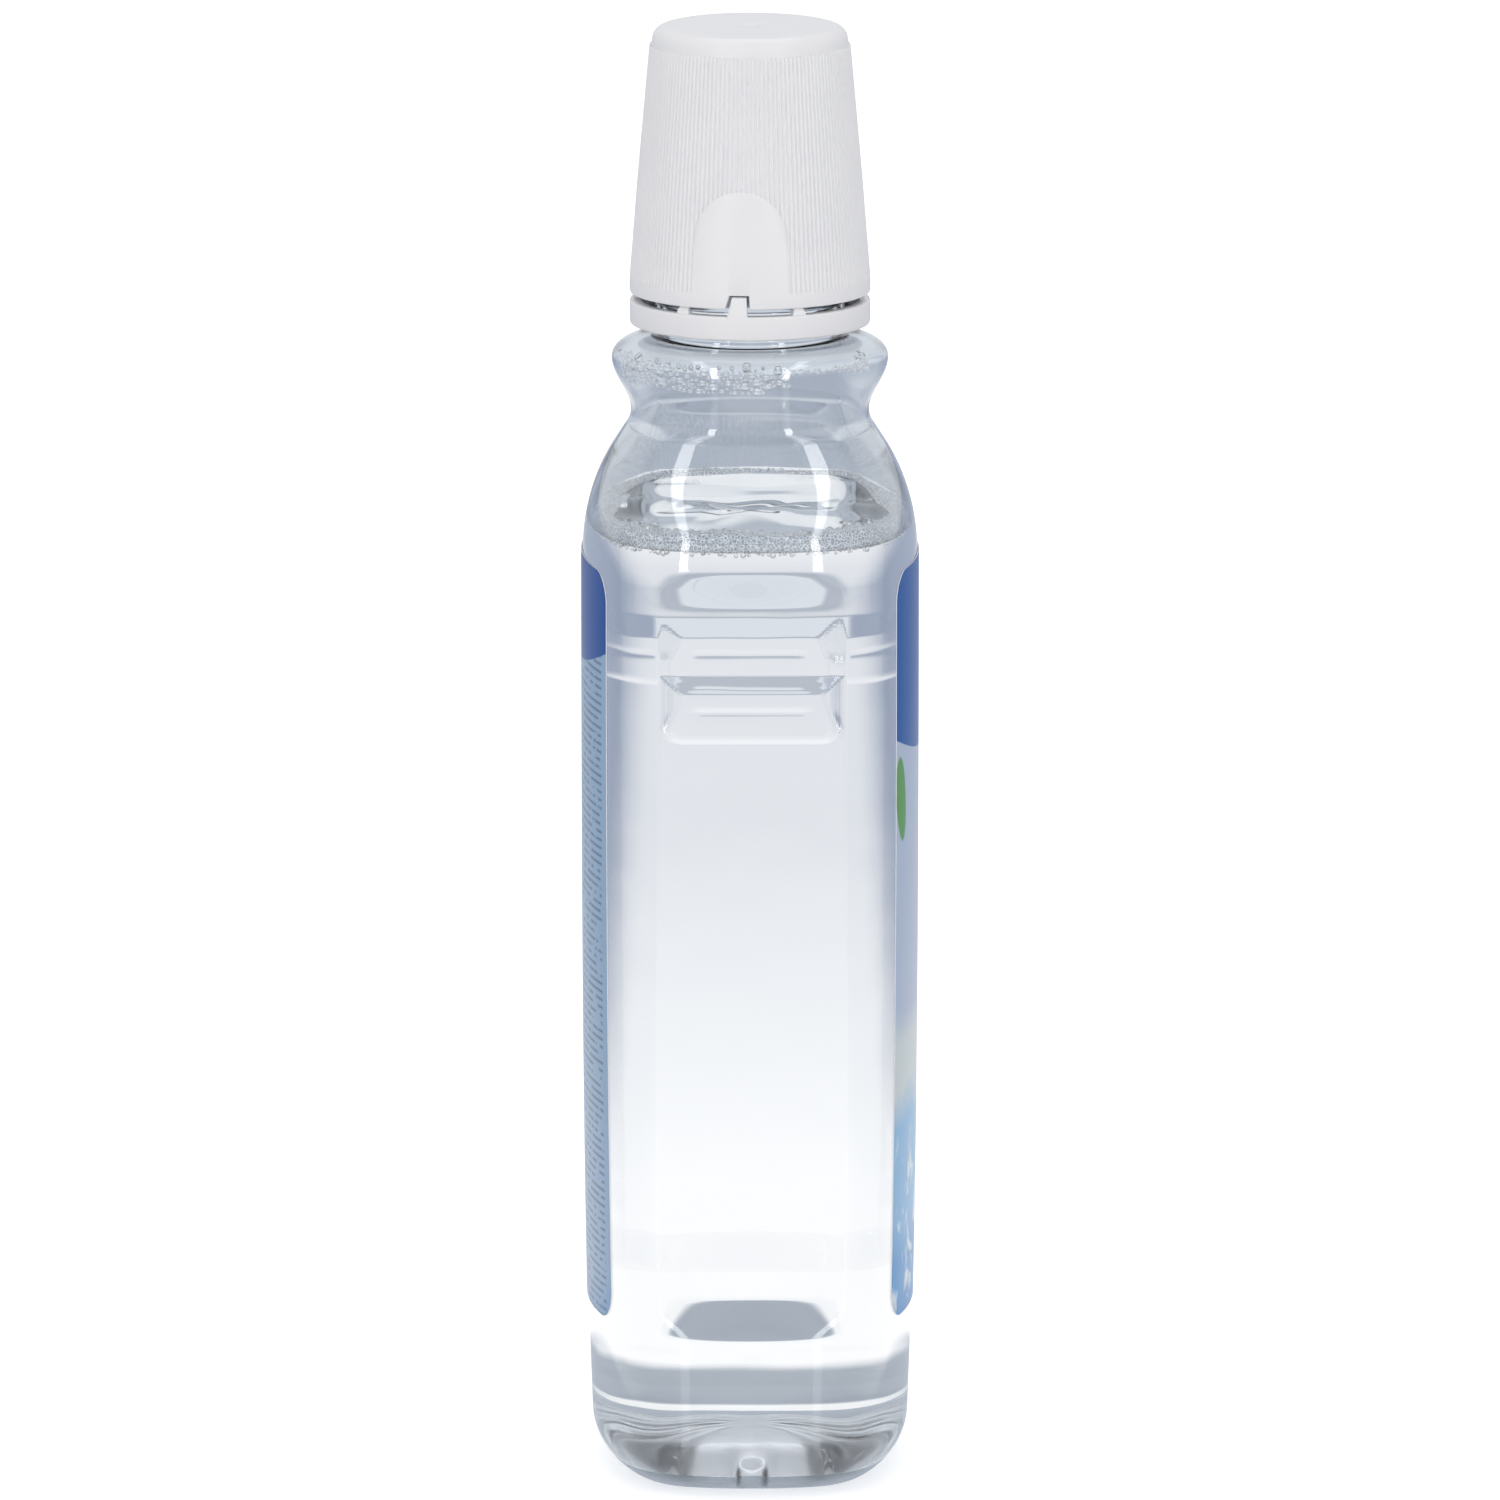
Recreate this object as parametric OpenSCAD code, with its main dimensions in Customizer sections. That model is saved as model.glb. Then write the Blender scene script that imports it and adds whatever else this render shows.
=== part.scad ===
// Mouthwash bottle with a screw-on dosing cap, a tamper band and two labels.
// Z is up, the base stands on Z = 0, X runs along the wide faces, and the front label faces -Y.

/* [Body] */
// Width of the body across its narrow sides
body_w = 78; // [70:1:90]
// Depth of the body from label face to label face
body_d = 54.6; // [50:0.2:62]
// Height at which the shoulder starts to curve in
shoulder_z = 150; // [120:1:170]
// How much each side draws in from the shoulder to the base
body_taper = 1.5; // [0:0.1:3]
// Plan radius of the narrow sides
side_r = 52; // [46:1:80]
// Plan radius of the label faces
face_r = 95; // [70:1:160]
// Sharpness of the four upright corners, as the exponent that joins the arcs
corner_power = 12; // [8:1:20]
// Thickness of the blown wall
wall = 0.6; // [0.4:0.05:1.2]

/* [Shoulder and collar] */
// Radius of the shoulder where it leaves the body
shoulder_r = 33; // [20:1:40]
// Steepest slope of the shoulder away from the vertical
shoulder_slope = 32; // [28:1:36]
// Radius of the hollow where the shoulder meets the waist
waist_fillet = 4.7; // [2:0.1:8]
// Width of the waist under the collar
waist_w = 44; // [42:0.5:45]
// Depth of the waist under the collar
waist_d = 38.8; // [36:0.2:42]
// Radius of the round collar under the cap
collar_r = 22.5; // [21.5:0.1:24]
// Height from the waist to the widest part of the collar
collar_rise = 8.5; // [6:0.1:12]
// Height of the collar's rounded top
collar_top_h = 3.7; // [3:0.1:6]
// How much of the body's squareness is left at the waist
waist_square = 0.4; // [0:0.05:0.6]

/* [Side panels] */
// Depth of the flat panel in each narrow side
panel_d = 3; // [1:0.1:4]
// Height at which the lower bevel of the panel starts
panel_z = 26.5; // [16:0.5:40]
// Height of the lower bevel
panel_bevel_low = 6.2; // [3:0.1:10]
// Height of the upper bevel
panel_bevel_high = 6.4; // [4:0.1:10]
// How far the upper bevel reaches above the start of the shoulder
panel_over = 3; // [1:0.1:5]
// Width of the grip pocket in the panel
pocket_w = 30.5; // [20:0.5:32]
// Height of the grip pocket
pocket_h = 9.6; // [6:0.1:14]
// Depth of the grip pocket
pocket_d = 1.1; // [0.5:0.1:1.6]
// Distance from the shoulder down to the top of the grip pocket
pocket_drop = 16; // [8:0.1:40]
// Corner radius at the foot of the grip pocket
pocket_r = 4; // [1:0.1:4.5]

/* [Base] */
// Radius of the heel around the base
heel_r = 8; // [5:0.5:10]
// Width of the flat ring that the bottle stands on
stand_w = 2.5; // [1.5:0.1:4]
// Height of the push-up in the middle of the base
pushup_h = 6; // [3:0.5:9]
// Thickness of the base
base_t = 0.9; // [0.7:0.05:1.4]
// Extra radius of the heel's inner face, which thickens the heel
heel_extra = 2.4; // [1.6:0.1:3]
// Depth of the indexing notch in the heel
notch_d = 0.9; // [0.4:0.1:1]
// Radius of the indexing notch
notch_r = 2.4; // [1.5:0.1:4]

/* [Neck] */
// Radius of the neck at the root of its thread
neck_r = 15.2; // [14.5:0.1:15.4]
// Radius of the bore through the neck
bore_r = 13.4; // [12:0.1:13.7]
// Height of the neck from the top of the collar to its rim
neck_h = 24.3; // [20:0.1:30]
// Radius of the bead that holds the tamper band
bead_r = 16.6; // [16.2:0.1:16.6]
// Height of the bead
bead_h = 1.6; // [1:0.1:2]
// Distance from the top of the collar to the foot of the bead
bead_z = 3.8; // [3.6:0.1:4.1]

/* [Cap] */
// Height of the cap from its lower edge to its top
cap_h = 43.6; // [40:0.1:55]
// Radius of the smooth band at the cap's lower edge
cap_r = 19.6; // [19.2:0.1:21]
// Radius over the ribs at their top
cap_top_r = 16.35; // [16:0.05:18]
// How far the cap's side swells out past a straight taper
cap_belly = 0.1; // [0.04:0.02:0.14]
// Height of the smooth band at the lower edge
hem_h = 2.4; // [2:0.1:4]
// Height of the smooth band above the ribs
crown_h = 3; // [2.6:0.1:6]
// Radius of the edge around the flat top
crown_r = 2.2; // [1:0.1:2.8]
// How far the smooth band stands in behind the foot of the grooves
crown_in = 0.1; // [0.05:0.05:0.3]
// Chamfer on the moulded edges of the cap and the neck
edge = 0.3; // [0.2:0.05:0.4]
// Number of upright ribs around the cap
rib_n = 144; // [96:4:150]
// Depth of the grooves between the ribs
rib_d = 0.32; // [0.2:0.02:0.5]
// Width of a groove at the surface
rib_w = 0.42; // [0.3:0.02:0.5]
// Thickness of the cup's wall and top behind the ribs
cup_t = 1.3; // [1:0.05:1.6]
// Chamfer around the bottom of the cup
cup_edge = 1.2; // [0.4:0.1:2]
// Height over which the cup's wall slopes in to the sealing lip
lip_slope = 0.8; // [0.4:0.1:1.5]
// Radial gap around the neck's thread crests
thread_gap = 0.25; // [0.15:0.05:0.4]
// Height of the thread crests above the neck
thread_h = 1.3; // [1:0.05:1.35]
// Width of each smooth thumb panel
thumb_w = 15.7; // [10:0.1:18]
// Height of each thumb panel above the hem
thumb_h = 16.6; // [9:0.1:20]
// Radius of the opening inside the sealing lip
lip_r = 14.2; // [13.8:0.1:14.5]
// Thickness of the sealing lip
lip_t = 0.5; // [0.4:0.05:0.8]
// Gap between the sealing lip and the rim
lip_gap = 0.15; // [0.05:0.05:0.3]
// Turn of the cap on the neck, from the middle of the narrow side
cap_turn = 5.5; // [0:0.5:29]

/* [Tamper band] */
// Height of the tamper band
band_h = 4; // [3.8:0.1:4.4]
// Thickness of the tamper band
band_t = 1.9; // [1.6:0.1:2]
// Chamfer on the edges of the tamper band
band_edge = 0.5; // [0.2:0.1:0.6]
// Gap between the collar and the tamper band
band_gap = 1.9; // [1.4:0.1:2]
// Slot between the tamper band and the cap
slot_h = 1.2; // [0.8:0.1:1.6]
// Radius inside the band's snap flange
flange_r = 15.9; // [15.8:0.05:16]
// Height of the snap flange
flange_h = 0.8; // [0.6:0.1:1]
// Number of ties between the band and the cap
tie_n = 6; // [4:1:8]
// Width of one tie
tie_w = 2.6; // [1.5:0.1:3]
// Thickness of one tie
tie_t = 1.1; // [0.6:0.1:1.2]
// Gap left at the broken end of each tie
tie_gap = 0.08; // [0.05:0.01:0.2]
// Number of ratchet tabs on the band
tab_n = 3; // [1:1:3]
// Width of a ratchet tab at its foot
tab_w = 3.3; // [2.5:0.1:4]
// How much narrower a ratchet tab is at its top
tab_slant = 0.8; // [0.2:0.1:1.2]
// How far a ratchet tab stands back from its middle line
tab_back = 0.4; // [0:0.1:0.6]
// Gap around a ratchet tab in its notch
tab_gap = 0.4; // [0.3:0.05:0.6]

/* [Labels] */
// Width of a label across the face
label_w = 52; // [40:1:54]
// Height of the labels' lower edge
label_z = 27; // [20:1:40]
// Height of the labels
label_h = 123.5; // [80:0.5:124]
// Corner radius of the labels
label_r = 5; // [1:0.5:10]
// Thickness of the label film
label_t = 0.15; // [0.1:0.05:0.3]
// Gap between a label and the wall, filled by its adhesive
label_gap = 0.1; // [0.04:0.01:0.1]

/* [Contents] */
// Height of the liquid's surface
fill_z = 156; // [100:0.5:160]
// Gap between the liquid and the wall
liquid_gap = 0.12; // [0.05:0.01:0.3]
// Width of the froth ring on the liquid
froth_w = 4.5; // [2:0.1:8]
// Height of the froth ring
froth_h = 2.6; // [1:0.1:3]
// Gap between the froth and what it touches
froth_gap = 0.5; // [0.3:0.05:0.7]
// Sweep of the froth that clings inside the collar
cling_sweep = 165; // [40:5:180]
// How far past the middle of the narrow side the clinging froth ends
cling_end = 20; // [0:5:40]
// Thickness of the clinging froth
cling_t = 2.2; // [1:0.1:3]
// Height of the clinging froth
cling_h = 4.4; // [2:0.1:5]
// Bevel of its outer edges, which follows the collar's curve
cling_bevel = 1.4; // [0.8:0.1:1.9]
// Its middle, below the collar's widest place
cling_drop = 0.3; // [0:0.1:1]

/* [Hidden] */
$fn = 96;

eps = 0.02;
over = 1;
bite = 0.3;

// Heights of the shoulder, collar and neck, worked out from the tangent arcs and the line between them
drop_d = (body_d - waist_d) / 2;
bend_in = (shoulder_r + waist_fillet) * (1 - cos(shoulder_slope));
slope_l = (drop_d - bend_in) / sin(shoulder_slope);
shoulder_h = (shoulder_r + waist_fillet) * sin(shoulder_slope) + slope_l * cos(shoulder_slope);
waist_z = shoulder_z + shoulder_h;
collar_z = waist_z + collar_rise;
collar_top = collar_z + collar_top_h;
rim_z = collar_top + neck_h;

// Heights of the band and the cap above the collar
band_z = collar_top + band_gap;
band_top = band_z + band_h;
cap_z = band_top + slot_h;
cap_top = cap_z + cap_h;
hem_top = cap_z + hem_h;
rib_top = cap_top - crown_h;
crest_r = neck_r + thread_h;
skirt_r = crest_r + thread_gap;
lip_z = rim_z + lip_gap;
facing = 180 - cap_turn;

// Side panels
panel_low = panel_z + panel_bevel_low;
panel_top = shoulder_z + panel_over;
panel_high = panel_top - panel_bevel_high;
pocket_top = shoulder_z - pocket_drop;

floor_x = body_w / 2 - panel_d;
panel_edge = atan(sqrt(2 * side_r * panel_d - panel_d * panel_d) / floor_x);

base_w = body_w - 2 * body_taper;
base_d = body_d - 2 * body_taper;

function mix(a, b, t) = a + (b - a) * t;
function clamp(t) = min(1, max(0, t));

// How far the panel is sunk at a height, from 0 to 1
function sunk(z) =
  min(clamp((z - panel_z) / panel_bevel_low), clamp((panel_top - z) / panel_bevel_high));

// Half of what the body draws in at a height below the shoulder
function draw_in(z) = body_taper * pow(clamp(1 - z / shoulder_z), 3);

// One ring is its height, half width, half depth, squareness and panel depth share
function body_ring(z, o) =
  [z, body_w / 2 - draw_in(z) - o, body_d / 2 - draw_in(z) - o, 1, sunk(z)];

// A ring of the shoulder, by the depth it has lost to the waist
function shoulder_ring(z, lost, o) =
  let (share = lost / drop_d)
  [
    z,
    mix(body_w, waist_w, share) / 2 - o,
    body_d / 2 - lost - o,
    mix(1, waist_square, share),
    sunk(z)
  ];

function base_rings(o, t) =
  let (
    hr = o > 0 ? heel_r + heel_extra - o : heel_r,
    aw = base_w / 2 - o,
    ad = base_d / 2 - o,
    dome_w = base_w / 2 - heel_r - stand_w,
    dome_d = base_d / 2 - heel_r - stand_w
  )
  concat(
    [for (f = [0.2, 0.45, 0.7, 0.88, 1])
      [
        t + pushup_h * (1 - f * f * f),
        dome_w * f,
        dome_d * f,
        1,
        0
      ]
    ],
    [for (u = [0 : 18 : 90])
      [
        t + hr * (1 - cos(u)),
        aw - hr * (1 - sin(u)),
        ad - hr * (1 - sin(u)),
        1,
        0
      ]
    ]
  );

function wall_rings(o) = [
  for (z = [panel_z, panel_low, mix(panel_low, panel_high, 0.4), mix(panel_low, panel_high, 0.75), panel_high])
    body_ring(z, o)
];

// The bend starts at the shoulder's foot, passes the panel's top edge and ends at full slope
function bend_angles() =
  let (first = asin(panel_over / shoulder_r))
  concat([0, first], [for (k = [1 : 5]) mix(first, shoulder_slope, k / 5)]);

function shoulder_rings(o) = concat(
  [for (u = bend_angles())
    shoulder_ring(shoulder_z + shoulder_r * sin(u), shoulder_r * (1 - cos(u)), o)
  ],
  [for (u = [shoulder_slope : -shoulder_slope / 4 : 0.01])
    shoulder_ring(waist_z - waist_fillet * sin(u), drop_d - waist_fillet * (1 - cos(u)), o)
  ]
);

// From the waist the section turns round while it swells into the collar
function collar_rings(o) = [
  for (k = [0 : 6])
    let (t = k / 6, s = (1 - cos(180 * t)) / 2)
    [
      waist_z + collar_rise * t,
      mix(waist_w / 2, collar_r, s) - o,
      mix(waist_d / 2, collar_r, s) - o,
      waist_square * (1 - s),
      0
    ]
];

function crown_rings(r_end, o) = [
  for (u = [15 : 15 : 90])
    [
      collar_z + (collar_top_h - o) * pow(sin(u), 0.9),
      mix(r_end, collar_r - o, pow(cos(u), 0.9)),
      mix(r_end, collar_r - o, pow(cos(u), 0.9)),
      0,
      0
    ]
];

function shell_rings(o, t, r_end) = concat(
  base_rings(o, t),
  wall_rings(o),
  shoulder_rings(o),
  collar_rings(o),
  crown_rings(r_end, o)
);

// Distance from an arc's foot to the arc, along a direction given by its two parts
function arc_reach(half, r, along, across) =
  (half - r) * along + sqrt(r * r - pow((half - r) * across, 2));

function reach(g, t) =
  let (
    x = abs(cos(t)),
    y = abs(sin(t)),
    oval = g[1] * g[2] / norm([g[2] * x, g[1] * y]),
    to_side = arc_reach(g[1], side_r, x, y),
    to_face = arc_reach(g[2], face_r, y, x),
    square = pow(pow(to_side, -corner_power) + pow(to_face, -corner_power), -1 / corner_power),
    full = mix(oval, square, g[3]),
    to_floor = (g[1] - panel_d) / max(x, 0.01)
  )
  mix(full, min(full, to_floor), g[4]);

// Directions around a section, with one along each edge of the side panels
function quarter(p, q) = concat(
  [for (k = [0 : p - 1]) panel_edge * k / p],
  [for (k = [0 : q - 1]) mix(panel_edge, 90, k / q)]
);
function around(p, q) =
  let (a = quarter(p, q), last = len(a) - 1)
  [for (half = [0, 180]) each concat(
    [for (t = a) half + t],
    [half + 90],
    [for (k = [last : -1 : 1]) half + 180 - a[k]]
  )];

function ring_points(g, turns) = [for (t = turns) let (r = reach(g, t)) [r * cos(t), r * sin(t), g[0]]];

// A closed solid through a stack of rings, with a point at the middle of each end.
// A stack that goes up outside and, after the given number of rings, down inside makes a hollow
// shell. Each face is split along the same diagonal on both walls, so the wall keeps its thickness.
module loft(rings, turns, up = 1000) {
  n = len(turns);
  last = len(rings) - 1;
  points = concat(
    [for (g = rings) each ring_points(g, turns)],
    [[0, 0, rings[0][0]], [0, 0, rings[last][0]]]
  );
  foot = len(points) - 2;
  sides = [
    for (i = [0 : last - 1], k = [0 : n - 1])
      let (a = i * n + k, b = i * n + (k + 1) % n)
      each i < up ? [[a, b + n, b], [a, a + n, b + n]] : [[a, a + n, b], [a + n, b + n, b]]
  ];
  ends = [
    for (k = [0 : n - 1])
      each [[k, (k + 1) % n, foot], [last * n + (k + 1) % n, last * n + k, foot + 1]]
  ];
  polyhedron(points = points, faces = concat(sides, ends), convexity = 8);
}

// The grip pocket's outline, round at its foot, as a block on each narrow side
module pocket_block(low_x, high_x, grow) {
  half = pocket_w / 2 + grow;
  low = pocket_top - pocket_h - grow;
  high = pocket_top + grow;
  r = pocket_r + grow;
  for (side = [0, 180])
    rotate([0, 0, side])
      translate([low_x, 0, 0])
        rotate([90, 0, 90])
          linear_extrude(high_x - low_x)
            union() {
              translate([-half, low + r]) square([2 * half, high - low - r]);
              translate([-half + r, low]) square([2 * (half - r), r + eps]);
              for (s = [-1, 1]) translate([s * (half - r), low + r]) circle(r, $fn = 32);
            }
}

// A short groove across the heel on the -X side, cut square to its slope
module index_notch() {
  turn = 45;
  x = base_w / 2 - heel_r + heel_r * sin(turn);
  z = heel_r * (1 - cos(turn));
  out = notch_r - notch_d;
  translate([-x - out * sin(turn), 0, z - out * cos(turn)])
    rotate([0, -turn, 0])
      cylinder(h = 3 * heel_r, r = notch_r, center = true, $fn = 32);
}

// The finish is a tube whose foot takes in the top edge of the blown shell
module neck() {
  foot = collar_top - wall - bite;
  rotate_extrude()
    polygon([
      [bore_r, rim_z - edge],
      [bore_r + edge, rim_z],
      [neck_r - edge, rim_z],
      [neck_r, rim_z - edge],
      [neck_r, collar_top + bead_z + bead_h],
      [bead_r, collar_top + bead_z + bead_h / 2],
      [bead_r, collar_top + bead_z],
      [neck_r, collar_top + bead_z],
      [neck_r, foot],
      [bore_r, foot]
    ]);
}

module bottle() {
  outside = shell_rings(0, 0, neck_r - bite);
  inside = shell_rings(wall, base_t, bore_r + bite);
  boss_x = floor_x - pocket_d - wall;
  color([0.82, 0.88, 0.92, 0.45])
    difference() {
      union() {
        loft(concat(outside, [for (k = [len(inside) - 1 : -1 : 0]) inside[k]]), around(5, 9), len(outside));
        neck();
        pocket_block(boss_x, floor_x - wall / 2, wall);
      }
      pocket_block(boss_x + wall, floor_x + panel_d + over, 0);
      index_notch();
    }
}

// Height of the cap's fullest ring, just above the thumb panels
belly_z = hem_top + thumb_h + over;

function cone_r(z) = mix(cap_r, cap_top_r, (z - hem_top) / (rib_top - hem_top));

// Height at which a groove starts: the hem, or the arch of a thumb panel that it would cross
function groove_start(turn) =
  let (
    off = abs(sin(turn - facing)) * cone_r(hem_top + thumb_h / 2),
    arch = thumb_w / 2
  )
  off < arch ? hem_top + thumb_h - arch + sqrt(arch * arch - off * off) : hem_top;

// One V groove that runs up the taper and out at the step under the crown
module groove(turn) {
  slant = atan((cap_r - cap_top_r) / (rib_top - hem_top));
  start = groove_start(turn);
  out = cap_belly + eps;
  half = rib_w / 2 * (rib_d + out) / rib_d;
  rotate([0, 0, turn])
    translate([cap_r, 0, hem_top])
      rotate([0, -slant, 0])
        translate([0, 0, (start - hem_top) / cos(slant)])
          linear_extrude((rib_top - start) / cos(slant) + bite)
            polygon([[-rib_d, 0], [out, -half], [out, half]]);
}

// The cap's outside in one turn: hem, taper, step and rounded crown
module cap_outside() {
  crown_out = cap_top_r - rib_d - crown_in;
  rotate_extrude()
    polygon(concat(
      [
        [0, cap_z],
        [cap_r - edge, cap_z],
        [cap_r, cap_z + edge],
        [cap_r, hem_top],
        [cone_r(belly_z) + cap_belly, belly_z],
        [cap_top_r, rib_top],
        [crown_out, rib_top]
      ],
      [for (u = [0 : 15 : 90]) [crown_out - crown_r * (1 - cos(u)), cap_top - crown_r * (1 - sin(u))]],
      [[0, cap_top]]
    ));
}

// The cup and, below its sealing lip, the skirt that goes over the thread
module cup_hollow() {
  floor_r = cap_top_r - rib_d - cup_t;
  mouth_z = lip_z + lip_t + lip_slope;
  mouth_r = cone_r(mouth_z) - rib_d - cup_t;
  rotate_extrude()
    polygon([
      [0, cap_z - over],
      [skirt_r, cap_z - over],
      [skirt_r, lip_z - lip_gap],
      [lip_r, lip_z],
      [lip_r, lip_z + lip_t],
      [mouth_r, mouth_z],
      [floor_r, cap_top - cup_t - cup_edge],
      [floor_r - cup_edge, cap_top - cup_t],
      [0, cap_top - cup_t]
    ]);
}

// One tooth outline, slanted on the side that lets the cap turn open
module tab_outline(grow, top) {
  left = -tab_w / 2 - tab_back - grow;
  right = tab_w / 2 - tab_back + grow;
  polygon([[left, 0], [right, 0], [right, top], [left + tab_slant, top]]);
}

// Teeth from the band's rim up into the cap's hem
module tabs(grow, low, high, r_in, r_out) {
  for (k = [0 : tab_n - 1])
    rotate([0, 0, facing + 360 * k / tab_n])
      translate([r_in, 0, low])
        rotate([90, 0, 90])
          linear_extrude(r_out - r_in)
            tab_outline(grow, high - low);
}

module dosing_cap() {
  color([0.94, 0.95, 0.97])
    difference() {
      cap_outside();
      cup_hollow();
      tabs(tab_gap, cap_z - over, hem_top - eps, skirt_r - over, cap_r + over);
      for (k = [0 : rib_n - 1]) groove(360 * k / rib_n);
    }
}

module tamper_band() {
  band_in = cap_r - band_t;
  tab_top = hem_top - tab_gap;
  color([0.93, 0.94, 0.96]) {
    rotate_extrude()
      polygon([
        [flange_r, band_z],
        [cap_r - band_edge, band_z],
        [cap_r, band_z + band_edge],
        [cap_r, band_top - band_edge],
        [cap_r - band_edge, band_top],
        [band_in, band_top],
        [band_in, band_z + flange_h + band_edge],
        [flange_r, band_z + flange_h]
      ]);
    intersection() {
      tabs(0, band_top - band_edge - bite, tab_top, band_in, cap_r + over);
      cylinder(h = tab_top + over, r = cap_r);
    }
    for (k = [0 : tie_n - 1])
      rotate([0, 0, facing + 360 * (k + 0.5) / tie_n])
        translate([band_in + bite, -tie_w / 2, band_top - bite])
          cube([tie_t, tie_w, slot_h + bite - tie_gap]);
  }
}

// Angle at which a ring's outline is half the label's width from the middle
function label_angle(g, t, n) = n == 0 ? t : label_angle(g, acos(label_w / 2 / reach(g, t)), n - 1);

function label_row(z, o) =
  let (g = body_ring(z, -o), start = label_angle(g, 45, 8))
  [for (k = [0 : 12]) let (t = mix(start, 180 - start, k / 12), r = reach(g, t)) [r * cos(t), r * sin(t), z]];

// A thin sheet that follows the face, cut to a rounded outline
module label_sheet() {
  rows = 8;
  cols = 12;
  n = (rows + 1) * (cols + 1);
  stack = [for (o = [label_gap, label_gap + label_t], i = [0 : rows]) each label_row(label_z + label_h * i / rows, o)];
  function at(s, i, k) = s * n + i * (cols + 1) + k;
  skin = [for (i = [0 : rows - 1], k = [0 : cols - 1])
    each [
      [at(0, i, k), at(0, i, k + 1), at(0, i + 1, k)],
      [at(0, i, k + 1), at(0, i + 1, k + 1), at(0, i + 1, k)],
      [at(1, i, k), at(1, i + 1, k), at(1, i, k + 1)],
      [at(1, i, k + 1), at(1, i + 1, k), at(1, i + 1, k + 1)]
    ]
  ];
  long_edges = [for (k = [0 : cols - 1])
    each [
      [at(0, 0, k), at(1, 0, k), at(1, 0, k + 1), at(0, 0, k + 1)],
      [at(0, rows, k), at(0, rows, k + 1), at(1, rows, k + 1), at(1, rows, k)]
    ]
  ];
  short_edges = [for (i = [0 : rows - 1])
    each [
      [at(0, i, 0), at(0, i + 1, 0), at(1, i + 1, 0), at(1, i, 0)],
      [at(0, i, cols), at(1, i, cols), at(1, i + 1, cols), at(0, i + 1, cols)]
    ]
  ];
  intersection() {
    polyhedron(points = stack, faces = concat(skin, long_edges, short_edges), convexity = 4);
    translate([0, body_d, label_z + label_h / 2])
      rotate([90, 0, 0])
        linear_extrude(body_d)
          union() {
            square([label_w + over, label_h - 2 * label_r], center = true);
            square([label_w - 2 * label_r, label_h + over], center = true);
            for (x = [-1, 1], y = [-1, 1])
              translate([x * (label_w / 2 - label_r), y * (label_h / 2 - label_r)])
                circle(label_r, $fn = 32);
          }
  }
}

module front_label() {
  color([0.16, 0.33, 0.72]) rotate([0, 0, 180]) label_sheet();
}

module back_label() {
  color([0.35, 0.5, 0.78]) label_sheet();
}

// The liquid up to its surface, just clear of the wall
module mouthwash() {
  inset = wall + liquid_gap;
  rings = concat(base_rings(inset, base_t + liquid_gap), wall_rings(inset), shoulder_rings(inset));
  inner_x = floor_x - pocket_d - wall;
  color([0.75, 0.86, 0.92, 0.5])
    difference() {
      loft(rings, around(5, 9));
      pocket_block(inner_x - liquid_gap, floor_x + panel_d + over, wall + liquid_gap);
      translate([-body_w, -body_d, fill_z]) cube([2 * body_w, 2 * body_d, body_w]);
    }
}

// Froth that rings the liquid's surface along the wall
module surface_froth() {
  low = fill_z + froth_gap;
  inset = wall + froth_gap;
  color([0.9, 0.93, 0.96])
    difference() {
      intersection() {
        loft(shoulder_rings(inset), around(3, 5));
        translate([-body_w, -body_d, low]) cube([2 * body_w, 2 * body_d, froth_h]);
      }
      loft(shoulder_rings(inset + froth_w), around(3, 5));
    }
}

// Froth left clinging inside the collar when the bottle was last tipped
module collar_froth() {
  r = collar_r - wall - froth_gap;
  color([0.9, 0.93, 0.96])
    rotate([0, 0, 180 + cling_end - cling_sweep])
      rotate_extrude(angle = cling_sweep)
        translate([r, collar_z - cling_drop])
          polygon([
            [-cling_t, -cling_h / 2],
            [-cling_bevel, -cling_h / 2],
            [0, cling_bevel - cling_h / 2],
            [0, cling_h / 2 - cling_bevel],
            [-cling_bevel, cling_h / 2],
            [-cling_t, cling_h / 2]
          ]);
}

bottle();
dosing_cap();
tamper_band();
front_label();
back_label();
mouthwash();
surface_froth();
collar_froth();
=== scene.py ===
import math
import random

import bpy
import numpy as np
from mathutils import Matrix, Vector


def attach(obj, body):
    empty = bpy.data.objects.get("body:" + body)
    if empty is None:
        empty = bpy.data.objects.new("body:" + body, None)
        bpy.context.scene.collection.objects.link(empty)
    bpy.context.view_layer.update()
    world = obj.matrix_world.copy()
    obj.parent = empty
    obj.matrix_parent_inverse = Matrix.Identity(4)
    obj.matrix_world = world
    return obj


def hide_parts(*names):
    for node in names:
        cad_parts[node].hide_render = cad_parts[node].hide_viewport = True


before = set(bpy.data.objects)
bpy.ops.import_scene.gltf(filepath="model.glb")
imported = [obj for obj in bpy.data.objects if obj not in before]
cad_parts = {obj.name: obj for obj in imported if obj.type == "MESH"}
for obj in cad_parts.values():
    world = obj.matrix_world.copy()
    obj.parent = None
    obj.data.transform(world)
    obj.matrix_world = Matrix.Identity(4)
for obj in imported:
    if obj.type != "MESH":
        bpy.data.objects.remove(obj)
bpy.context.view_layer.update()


# The bottle is stretch-blown from clear PET in one piece, with a thin even wall, a pushed-up
# base, flat grip panels in its narrow sides and a round collar. Its neck is injection-moulded
# first and keeps a thread and a bead. The glassy gloss comes from the polished blow mould.
MM = 0.001
BODY_W = 78.0
BODY_D = 54.6
SHOULDER_Z = 150.0
TAPER = 1.5  # how far each side draws in from the shoulder to the foot
SIDE_R = 52.0  # plan radius of the narrow sides
FACE_R = 95.0  # plan radius of the label faces
CORNER = 12.0  # the power that joins the two arcs, higher for a tighter corner
WALL = 0.6

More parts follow.
